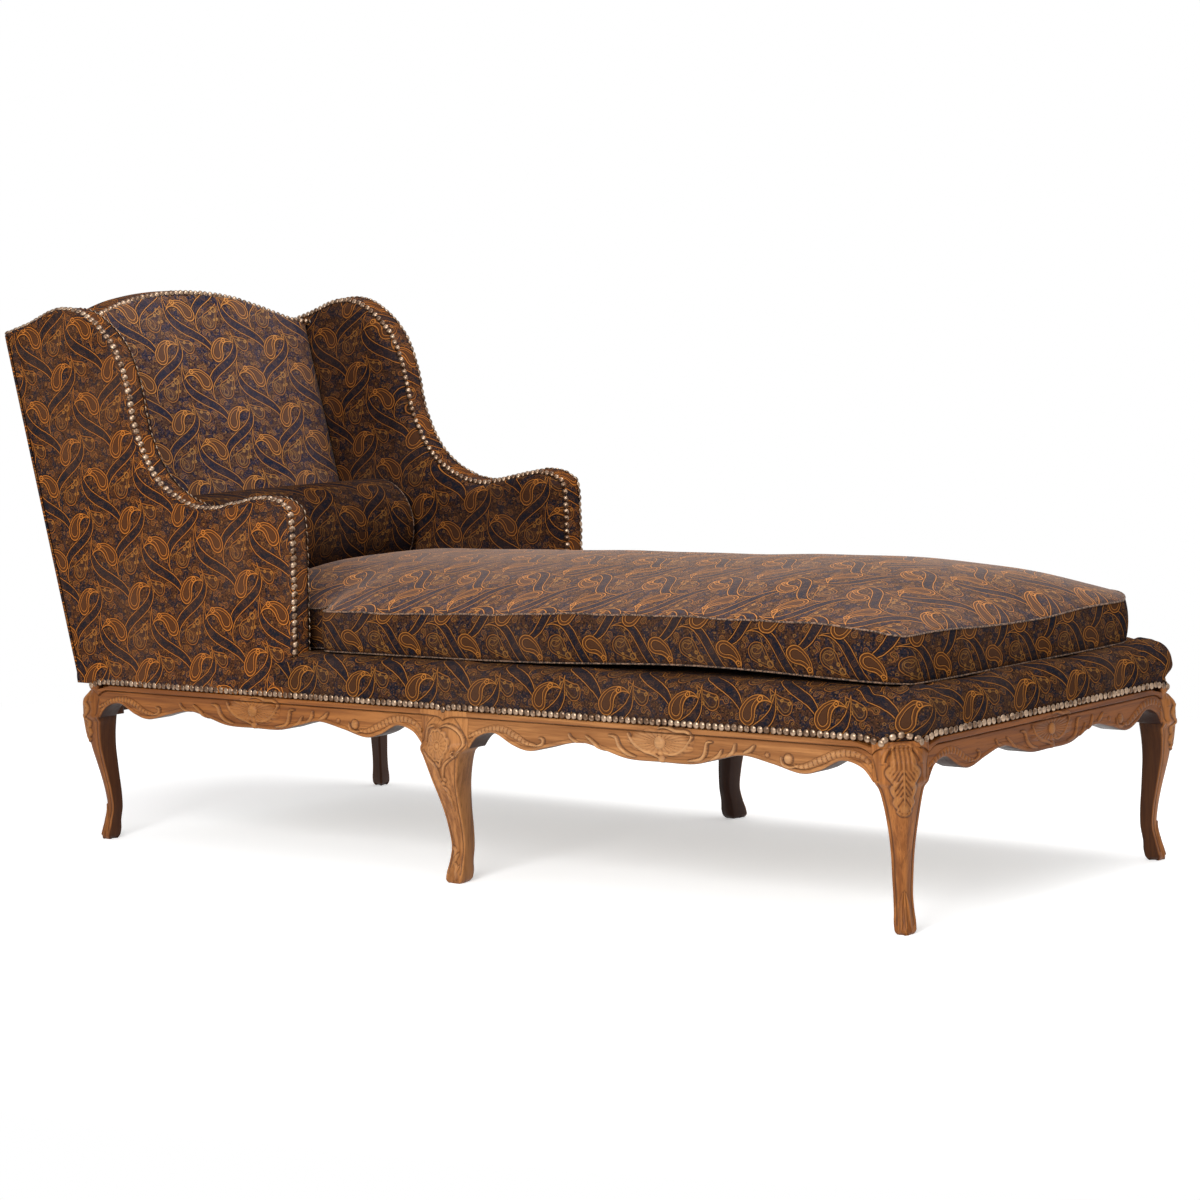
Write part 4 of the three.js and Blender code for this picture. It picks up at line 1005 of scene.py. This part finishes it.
# Border profile: how far in, and the height
ROLL = catmull(((0.0035, 0.299), (0.0012, 0.308), (0.0, 0.322), (0.0005, 0.340), (0.004, 0.354),
                (0.012, 0.366), (0.024, 0.373), (0.042, DECK_FLAT), (0.07, DECK_FLAT)), 40)
FOLD_PITCH = 0.048


def rounded(corners, radius):
    """A path through corners, each rounded."""
    corners = np.array(corners, float)
    points = [corners[0]]
    for before, here, after in zip(corners, corners[1:], corners[2:]):
        a, b = here + unit(before - here) * radius, here + unit(after - here) * radius
        points += [(1 - t) ** 2 * a + 2 * t * (1 - t) * here + t * t * b for t in np.linspace(0, 1, 7)]
    return resampled(np.array(points + [corners[-1]]), 0.006)


deck_path = rounded([
    (DECK_START, -DECK_SIDE), (DECK_FOOT - CORNER_CUT, -DECK_SIDE), (DECK_FOOT, CORNER_CUT - DECK_SIDE),
    (DECK_FOOT, DECK_SIDE - CORNER_CUT), (DECK_FOOT - CORNER_CUT, DECK_SIDE), (DECK_START, DECK_SIDE)], 0.02)
deck_run = along(deck_path)
inward = edge_normals(deck_path)
# Round the foot corners the cloth bulges, folds, and is drawn in at a point
pucker, bulge, crease = np.zeros((3, len(deck_path)))
for way in (-1, 1):
    for corner in ((DECK_FOOT - CORNER_CUT, way * DECK_SIDE), (DECK_FOOT, way * (DECK_SIDE - CORNER_CUT))):
        gap = np.linalg.norm(deck_path - corner, axis=1)
        pucker += np.exp(-(gap / 0.012) ** 2)
        bulge += (0.0085 if way > 0 else 0.003) * np.exp(-(gap / 0.07) ** 2)
        crease += 0.0016 * np.exp(-((gap - 0.03) / 0.05) ** 2) * np.cos(gap * 2 * math.pi / FOLD_PITCH)
ripple = 0.0020 * np.sin(deck_run * 27) * np.sin(deck_run * 11 + 1) + 0.0010 * np.sin(deck_run * 61 + 2)
swags = 0.0022 * np.sin(deck_run * 19 + 0.5) + 0.0012 * np.sin(deck_run * 47)
rows, uvs = [], []
for (inset, height), roll_run in zip(ROLL, along(ROLL)):
    wave = ripple + crease * smoothstep(0.32, 0.36, height) - bulge * smoothstep(0.30, 0.335, height)
    deep = 0.005 * pucker * smoothstep(0.33, 0.372, height) * smoothstep(0.3756, 0.3745, height)
    flat = deck_path + inward * (inset + wave * smoothstep(0.30, 0.33, height) + deep)[:, None]
    on_edge = inset < 0.05
    lumps = swags * smoothstep(0.34, 0.372, height) * on_edge - deep * 0.6
    lumps = lumps + 2 * crease * smoothstep(0.345, 0.37, height) * on_edge
    rows.append(joined(flat[:, 0], flat[:, 1], height + np.minimum(lumps, 0.0035)))
    uvs.append(joined(deck_run, roll_run + 0.055))
count = len(deck_path)
start, last = len(rows) * count, (len(rows) - 1) * count
tongue = [(x, y, DECK_FLAT) for x, y in (
    (ARM_FRONT - 0.001, PAD_HALF), (rear_at(DECK_TOP) + BACK_THICK + 0.021, PAD_HALF),
    (rear_at(DECK_TOP) + BACK_THICK + 0.021, -PAD_HALF), (ARM_FRONT - 0.001, -PAD_HALF))]
verts = np.vstack([*rows, tongue])
faces = grid_faces(len(rows), count)
top_face = [*range(last, last + count), *range(start, start + 4)]
corner_uv = np.vstack([np.concatenate(uvs)[np.ravel(faces)], verts[top_face][:, [1, 0]] * (1, -1)])
# The deck takes the velvet copy with painted shade
deck = piece("deck_cover", verts, faces + [top_face], PAISLEY_SEAT_PAINTED_SHADE, uv=corner_uv, replaces=("deck",))


# Loose pieces: helpers

def inflated(obj, pinned, pressure, cap):
    """Blows a cover up a little as stuffed cloth, its seams held, and keeps the result."""
    frames = 20
    before = vertex_places(obj.data)
    group = obj.vertex_groups.new(name="seams")
    group.add([int(v) for v in pinned], 1.0, "REPLACE")
    cloth = obj.modifiers.new("cloth", "CLOTH")
    settings = cloth.settings
    settings.quality = 4
    settings.mass = 0.35
    settings.use_pressure = True
    settings.uniform_pressure_force = pressure
    settings.tension_stiffness = settings.compression_stiffness = 15.0
    settings.bending_stiffness = 1.2
    settings.vertex_group_mass = "seams"
    settings.effector_weights.gravity = 0
    cloth.collision_settings.use_collision = False
    cloth.collision_settings.use_self_collision = False
    cloth.point_cache.frame_start, cloth.point_cache.frame_end = 1, frames
    for number in range(1, frames + 1):
        SCENE.frame_set(number)
    mesh = bpy.data.meshes.new_from_object(obj.evaluated_get(bpy.context.evaluated_depsgraph_get()))
    move = vertex_places(mesh) - before
    bpy.data.meshes.remove(mesh)
    obj.modifiers.remove(cloth)
    SCENE.frame_set(1)
    far = np.linalg.norm(move, axis=1)
    move *= np.minimum(1, cap / np.maximum(far, 1e-9))[:, None]
    obj.data.vertices.foreach_set("co", (before + move).ravel())
    obj.data.update()


CORD_RADIUS, CORD_SIDES = 0.0015, 8


def piping(name, owner, seam, body):
    """A closed cord along a seam of a cover."""
    path = vertex_places(owner.data)[seam] - (ORIGIN_X, 0, 0)
    step = unit(np.roll(path, -1, 0) - np.roll(path, 1, 0))
    flat_out = np.cross(step, (0, 0, 1.0))
    flat_out[np.linalg.norm(flat_out, axis=1) < 1e-3] = (0, 1, 0)
    flat_out = unit(flat_out)
    up = np.cross(flat_out, step)
    angle = np.linspace(0, 2 * np.pi, CORD_SIDES, endpoint=False)[:, None]
    ring = (flat_out[:, None] * np.cos(angle) + up[:, None] * np.sin(angle)) * CORD_RADIUS
    faces = grid_faces(len(path), CORD_SIDES, wrap=True)
    last = (len(path) - 1) * CORD_SIDES
    for k in range(CORD_SIDES):
        on = (k + 1) % CORD_SIDES
        faces.append([last + k, last + on, on, k])
    obj = piece(name, (path[:, None] + ring).reshape(-1, 3), faces, CORD, body=body)


# Seat cushion

CUSHION_FOOT, CUSHION_HEAD = HALF_LENGTH - 0.040, -HALF_LENGTH + 0.058
EAR_X, NECK_HALF, CUSHION_HALF = ARM_FRONT + 0.022, PAD_INNER - 0.005, 0.348
SEAM_LOW, SEAM_TOP = DECK_TOP + 0.0048, DECK_TOP + 0.0848
BORDER_ROWS, BORDER_HEIGHT, BORDER_FULL = 9, 0.088, 0.005
BOLSTER_X = -HALF_LENGTH + 0.134
# Rounded corners: x, half width, way along x, radius on the near and on the far side
CUSHION_CORNERS = ((CUSHION_FOOT, CUSHION_HALF, -1, 0.030, 0.078), (EAR_X, CUSHION_HALF, 1, 0.026, 0.026),
                   (CUSHION_HEAD, NECK_HALF, 1, 0.026, 0.026))
# Height of the top seam along the cushion
SEAM = catmull(((-1.2, 0.448), (-0.9, 0.448), (-0.55, 0.448), (-0.35, 0.450), (-0.045, 0.455), (0.316, 0.468),
                (0.60, 0.4695), (0.755, 0.468), (0.858, 0.462), (0.9175, 0.453), (1.0, 0.450)), 300)


def cushion_panel():
    """Vertices and cells of the T-shaped panel, and the loop of vertices round it."""
    xs = np.concatenate([np.linspace(CUSHION_HEAD, EAR_X, 46), np.linspace(EAR_X, CUSHION_FOOT, 105)[1:]])
    outer = np.linspace(NECK_HALF, CUSHION_HALF, 5)[1:]
    ys = np.concatenate([-outer[::-1], np.linspace(-NECK_HALF, NECK_HALF, 55), outer])
    keep = np.ones((len(xs), len(ys)), bool)
    keep[np.ix_(xs < EAR_X - 1e-6, np.abs(ys) > NECK_HALF + 1e-6)] = False
    index = np.full(keep.shape, -1)
    index[keep] = np.arange(keep.sum())
    flat = joined(*np.meshgrid(xs, ys, indexing="ij"))[keep]
    cells = np.stack([index[:-1, :-1], index[1:, :-1], index[1:, 1:], index[:-1, 1:]], -1).reshape(-1, 4)
    cells = cells[cells.min(1) >= 0]
    edges = dict.fromkeys((a, b) for quad in cells.tolist() for a, b in zip(quad, quad[1:] + quad[:1]))
    border = {a: b for a, b in edges if (b, a) not in edges}
    loop = [next(iter(border))]
    while border[loop[-1]] != loop[0]:
        loop.append(border[loop[-1]])
    for x, half, along_x, near, far in CUSHION_CORNERS:
        for way, radius in ((-1, near), (1, far)):
            p = 1 - (flat[:, 0] - x) * along_x / radius
            q = 1 - (half - way * flat[:, 1]) / radius
            inside = (p > 0) & (q > 0) & (p <= 1.001) & (q <= 1.001)
            p2, q2 = p * np.sqrt(np.clip(1 - q * q / 2, 0, 1)), q * np.sqrt(np.clip(1 - p * p / 2, 0, 1))
            flat[inside, 0] = (x + along_x * radius * (1 - p2))[inside]
            flat[inside, 1] = (way * (half - radius * (1 - q2)))[inside]
    return flat, cells, np.array(loop)


flat, cells, loop = cushion_panel()
cx, cy = flat.T
wide = smoothstep(EAR_X - 0.028, EAR_X + 0.056, cx)
across = cy / (NECK_HALF * (1 - wide) + CUSHION_HALF * wide)
# The top seam sags at the foot and towards its far corner, and wobbles
seam_z = np.interp(cx, SEAM[:, 0], SEAM[:, 1])
foot_sag = np.cos(np.pi * np.clip((cy - 0.01) / 0.60, -0.5, 0.5)) ** 2 * smoothstep(0.70, CUSHION_FOOT, cx)
seam_z = seam_z - 0.010 * foot_sag
seam_z = seam_z - 0.006 * smoothstep(0.1, 0.33, cy) * smoothstep(0.55, CUSHION_FOOT - 0.04, cx)
seam_z = seam_z + 0.0013 * np.sin(cx * 37 + cy * 31) * np.sin(cx * 13 + 1)
# The filling swells the top towards the middle, and there is little of it under the bolster
swell = (fall(across, 2.2) * fall(np.maximum(0, (cx - CUSHION_FOOT + 0.34) / 0.335), 2.2)) ** 0.75
filling = smoothstep(BOLSTER_X + 0.0238, ARM_FRONT - 0.119, cx)
crown = 0.0635 * (1 + 0.17 * cx / HALF_LENGTH) * filling * swell
level = smoothstep(0, 0.5, swell) * filling
lumps = 0.0022 * np.sin(cx * 13 + 2 * np.sin(cy * 6)) * np.sin(cy * 11 + 1) + 0.0012 * np.sin(cx * 29 + cy * 17)
top_z = seam_z * (1 - level) + SEAM_TOP * level + crown + lumps * level
# The low seam lifts off the deck along the sides
lift = 0.012 * np.exp(-((cx - 0.52) / 0.27) ** 2) * smoothstep(0.20, 0.34, np.abs(cy))
low_z = SEAM_LOW - 0.003 * (1 - smoothstep(0.9, 1.0, np.abs(across))) + lift
panel, size = len(flat), len(loop)
ring_flat = flat[loop]
outward = edge_normals(ring_flat, True)
if np.mean(np.sum(outward * (ring_flat - (0.2, 0)), 1)) < 0:
    outward = -outward
ring_run = along(np.vstack([ring_flat, ring_flat[:1]]))
border = []
for share in np.arange(1, BORDER_ROWS) / BORDER_ROWS:
    out = ring_flat + outward * (BORDER_FULL * 4 * share * (1 - share))
    border.append(joined(out[:, 0], out[:, 1], top_z[loop] + (low_z - top_z)[loop] * share))
verts = np.vstack([joined(cx, cy, top_z), joined(cx, cy, low_z), *border])
levels = [loop, *(np.arange(size) + 2 * panel + k * size for k in range(BORDER_ROWS - 1)), loop + panel]
under = cells[:, ::-1]
faces = cells.tolist() + (under + panel).tolist()
corner_uv = [*joined(cy, -cx)[cells.ravel()], *joined(-cy, -cx)[under.ravel()]]
for k, (upper, lower) in enumerate(zip(levels, levels[1:])):
    z0, z1 = (BORDER_HEIGHT * row / BORDER_ROWS - 0.001 for row in (k, k + 1))
    for i in range(size):
        j = (i + 1) % size
        faces.append([upper[j], upper[i], lower[i], lower[j]])
        a, b = ring_run[i], ring_run[i + 1]
        corner_uv += [(z0, b), (z0, a), (z1, a), (z1, b)]
seat = piece("cushion_cover", verts, faces, PAISLEY_SEAT_PAINTED_SHADE, body="cushion", uv=np.array(corner_uv),
             replaces=("seat_cushion",))
# The top of the cushion takes the copy with painted light, its border the copy with painted shade
seat.data.materials.append(PAISLEY_TOP_PAINTED_LIGHT)
for polygon in seat.data.polygons[:len(cells)]:
    polygon.material_index = 1
inflated(seat, [*loop, *(loop + panel)], 3.0, 0.012)
for label, seam in (("top", loop), ("low", loop + panel)):
    piping(f"cushion_piping_{label}", seat, seam, "cushion")


# Bolster

BOLSTER_R, BOLSTER_HALF = 0.095, PAD_INNER - 0.022
BOLSTER_Z = SEAM_TOP - 0.0125 + BOLSTER_R * 1.02
TURNS = 72
# End: share of the radius, and how far out of the seam's plane
BOLSTER_END = catmull(((0.0, 0.012), (0.45, 0.0105), (0.8, 0.006), (0.97, 0.0)), 14)
end_rows = [(share * BOLSTER_R, BOLSTER_HALF + out) for share, out in BOLSTER_END]
body_rows = [(BOLSTER_R * (0.985 + 0.035 * math.sin(math.pi * share) ** 0.5), BOLSTER_HALF * (1 - 2 * share))
             for share in np.linspace(0.004, 0.996, 60)]
full_rows = end_rows[1:] + body_rows + [(radius, -y) for radius, y in end_rows[:0:-1]]
row_count, end_count = len(full_rows), len(end_rows) - 1
angle = np.linspace(0, 2 * np.pi, TURNS, endpoint=False)
verts = np.concatenate([joined(BOLSTER_X + radius * np.cos(angle), y, BOLSTER_Z + radius * np.sin(angle))
                        for radius, y in full_rows])
faces = [face[::-1] for face in closed_faces(row_count, TURNS)]
corner_uv = []
for number, face in enumerate(faces):
    row, k = divmod(number, TURNS)
    for v in face:
        if end_count - 1 <= row < row_count - end_count:
            turn = TURNS if k == TURNS - 1 and v % TURNS == 0 else v % TURNS
            corner_uv.append((verts[v][1], turn * 2 * math.pi / TURNS * BOLSTER_R))
        else:
            corner_uv.append((verts[v][0], verts[v][2]))
# The bolster takes the velvet copy with painted shadow
bolster = piece("bolster_cover", verts, faces, PAISLEY_BOLSTER_PAINTED_SHADOW, body="bolster", uv=np.array(corner_uv),
                replaces=("bolster",))
far_seam = np.arange(TURNS) + (end_count - 1) * TURNS
near_seam = np.arange(TURNS) + (row_count - end_count) * TURNS
inflated(bolster, [*far_seam, *near_seam], 2.0, 0.005)
for label, seam in (("near", near_seam), ("far", far_seam)):
    piping(f"bolster_piping_{label}", bolster, seam, "bolster")


# Nails

NAIL_PITCH, NAIL_RADIUS, NAIL_RISE, NAIL_SIDES = 0.0128, 0.0060, 0.0030, 12
NAIL_SUNK = 0.0005  # how far the row round the seat lies inside the rails' outer face
NAIL_RINGS = ((0.38, 0.9), (0.72, 0.62), (0.95, 0.25), (1.0, 0.0), (0.96, -0.15))
RANDOM = np.random.default_rng(7)


def nail_head():
    """A low round head, as vertices about its own base and faces; +Z is outwards."""
    turns = [2 * math.pi * k / NAIL_SIDES for k in range(NAIL_SIDES)]
    verts = [(0, 0, 1.0)] + [(radius * math.cos(a), radius * math.sin(a), height)
                             for radius, height in NAIL_RINGS for a in turns]
    faces = [(0, 1 + k, 1 + (k + 1) % NAIL_SIDES) for k in range(NAIL_SIDES)]
    for row in range(len(NAIL_RINGS) - 1):
        for k in range(NAIL_SIDES):
            a, b = 1 + row * NAIL_SIDES + k, 1 + row * NAIL_SIDES + (k + 1) % NAIL_SIDES
            faces.append((a, a + NAIL_SIDES, b + NAIL_SIDES, b))
    return np.array(verts) * (NAIL_RADIUS, NAIL_RADIUS, NAIL_RISE), faces


HEAD_VERTS, HEAD_FACES = nail_head()


def nails(name, path, outward):
    """Close-set nails along a path; outward has the direction in which the heads face."""
    run = along(path)
    count = int(run[-1] / NAIL_PITCH) + 1
    at = np.linspace(0, run[-1], count)
    centres = sampled(at, run, path)
    facing = sampled(at, run, np.broadcast_to(np.asarray(outward, float), path.shape))
    facing = unit(facing + RANDOM.normal(0, 0.05, facing.shape))[:, None]
    centres += RANDOM.normal(0, 0.0003, centres.shape)
    side = unit(np.cross(facing, (0.3, 0.5, 0.81)))
    x, y, z = np.split(HEAD_VERTS, 3, 1)
    verts = centres[:, None] + x * side + y * np.cross(facing, side) + z * facing
    faces = [[v + k * len(HEAD_VERTS) for v in face] for k in range(count) for face in HEAD_FACES]
    obj = piece(name, verts.reshape(-1, 3), faces, NAIL)


row_end, row_side = HALF_LENGTH - CORNER_CUT, HALF_WIDTH - CORNER_CUT
arc = np.linspace(0, 1, 30)[3:-3]
above_deck = WING_LINE[:, 1] > DECK_TOP + 0.004
line, normal = WING_LINE[above_deck], WING_NORMAL[above_deck]
for side, sign in SIDES:
    xs = np.linspace(-row_end, row_end, 500)
    middle_dip = 0.006 * np.clip(1 - np.abs(xs) / 0.018, 0, 1)
    nails(f"nails_seat_{side}", joined(xs, sign * (HALF_WIDTH - NAIL_SUNK),
                                       NAIL_LINE - end_dip(np.abs(xs), row_end) - middle_dip), (0, sign, 0))
    for end, way in ENDS:
        nails(f"nails_corner_{end}_{side}", joined(
            way * (HALF_LENGTH - CORNER_CUT * (1 - arc) - NAIL_SUNK), sign * (HALF_WIDTH - CORNER_CUT * arc - NAIL_SUNK),
            NAIL_LINE - DIP_DEPTH + 0.011 * np.sin(np.pi * arc) ** 0.8), (way, sign, 0))
    for label, plane, below, tilt in (("outer", SIDE_PLANE - 0.0055, 0.0005, sign * 0.45),
                                      ("inner", INNER_PLANE - 0.0010, 0.0050, -sign * 2.2)):
        edge = line - normal * below
        nails(f"nails_{label}_{side}", joined(edge[:, 0], sign * plane, edge[:, 1]),
              joined(normal[:, 0], tilt, normal[:, 1]))
for end, way in ENDS:
    ys = np.linspace(-row_side, row_side, 300)
    nails(f"nails_{end}", joined(way * (HALF_LENGTH - NAIL_SUNK), ys, NAIL_LINE - end_dip(np.abs(ys), row_side)),
          (way, 0, 0))
nail_z = crest_z - 0.0045
inside = np.abs(crest_y) < INNER_PLANE - 0.002
nails("nails_crest", joined(rear_at(nail_z) + BACK_THICK + 0.0008, crest_y, nail_z)[inside],
      joined(2.2, crest_up[:, 0], crest_up[:, 1])[inside])


# Floor, light and camera

WHITE = (1, 1, 1, 1)


def seen_directly(tree):
    """1 for rays from the camera, also by way of a mirror or glass, and 0 for light."""
    rays = node(tree, "ShaderNodeLightPath")
    camera, glossy, through = (Field(tree, rays.outputs[f"Is {kind} Ray"])
                               for kind in ("Camera", "Glossy", "Transmission"))
    return camera.math("MAXIMUM", glossy).math("MAXIMUM", through)


def backdrop_material():
    """Pale floor near the couch, where it takes the shadow, and plain white farther off."""
    material, tree, shader = new_material("pale_floor", {
        "Base Color": (0.92, 0.92, 0.92, 1), "Roughness": 0.9, "Specular IOR Level": 0.05})
    seen = seen_directly(tree)
    glow = node(tree, "ShaderNodeEmission", {"Color": WHITE, "Strength": seen * 0.43})
    both = node(tree, "ShaderNodeAddShader", {0: shader.outputs[0], 1: glow.outputs[0]})
    away = length_of(*axes(tree, stretched(tree, object_place(tree), (0.62, 1.0, 1.0)))[:2])
    white = node(tree, "ShaderNodeEmission", {"Color": WHITE, "Strength": 1.0})
    blend = node(tree, "ShaderNodeMixShader", {
        0: away.smooth(1.1, 1.9) * seen, 1: both.outputs[0], 2: white.outputs[0]})
    tree.links.new(blend.outputs[0], tree.nodes["Material Output"].inputs["Surface"])
    return material


def added(name, data):
    obj = bpy.data.objects.new(name, data)
    SCENE.collection.objects.link(obj)
    return obj


def lamp(name, place, target, power, size):
    data = bpy.data.lights.new(name, "AREA")
    data.energy, data.shape, data.size, data.size_y = power, "RECTANGLE", size[0], size[1]
    obj = added(name, data)
    obj.location = place
    obj.rotation_euler = (Vector(target) - Vector(place)).to_track_quat("-Z", "Y").to_euler()


FLOOR_REACH = 30.0
mesh = bpy.data.meshes.new("floor")
mesh.from_pydata([(x * FLOOR_REACH, y * FLOOR_REACH, 0) for x, y in ((-1, -1), (1, -1), (1, 1), (-1, 1))],
                 [], [(0, 1, 2, 3)])
mesh.materials.append(backdrop_material())
floor = added("floor", mesh)

world = bpy.data.worlds.new("studio")
SCENE.world = world
world.use_nodes = True
background = world.node_tree.nodes["Background"]
strength = seen_directly(world.node_tree).smooth(0.0, 1.0, 0.55, 1.0)
world.node_tree.links.new(strength.socket, background.inputs["Strength"])
background.inputs["Color"].default_value = WHITE

lamp("key", (1.5, -3.7, 2.3), (0.3, 0, 0.35), 140, (2.2, 2.0))
lamp("fill", (4.2, -2.0, 2.2), (0.4, 0, 0.4), 14, (2.0, 2.0))
lamp("top", (0.6, 0.4, 3.6), (0.3, 0, 0.3), 70, (2.6, 1.6))

# The camera, solved from the photograph
AZIMUTH, ELEVATION, ROLL_ANGLE = (math.radians(turn) for turn in (41.0668, 5.3609, -2.2706))
CAMERA_PLACE, CAMERA_LENS = (3.79254, -4.33652, 0.98777), 97.41
back = np.array([math.sin(AZIMUTH) * math.cos(ELEVATION), -math.cos(AZIMUTH) * math.cos(ELEVATION),
                 math.sin(ELEVATION)])
level_right = np.array([math.cos(AZIMUTH), math.sin(AZIMUTH), 0])
level_up = np.cross(back, level_right)
right = level_right * math.cos(ROLL_ANGLE) + level_up * math.sin(ROLL_ANGLE)
up = -level_right * math.sin(ROLL_ANGLE) + level_up * math.cos(ROLL_ANGLE)
data = bpy.data.cameras.new("camera")
data.sensor_fit, data.sensor_width, data.lens = "HORIZONTAL", 36.0, CAMERA_LENS
camera = added("camera", data)
turned = np.column_stack([right, up, back, np.array(CAMERA_PLACE) + (ORIGIN_X, 0, 0)])
camera.matrix_world = Matrix([*turned.tolist(), [0, 0, 0, 1]])
SCENE.camera = camera
SCENE.view_settings.view_transform = "Standard"
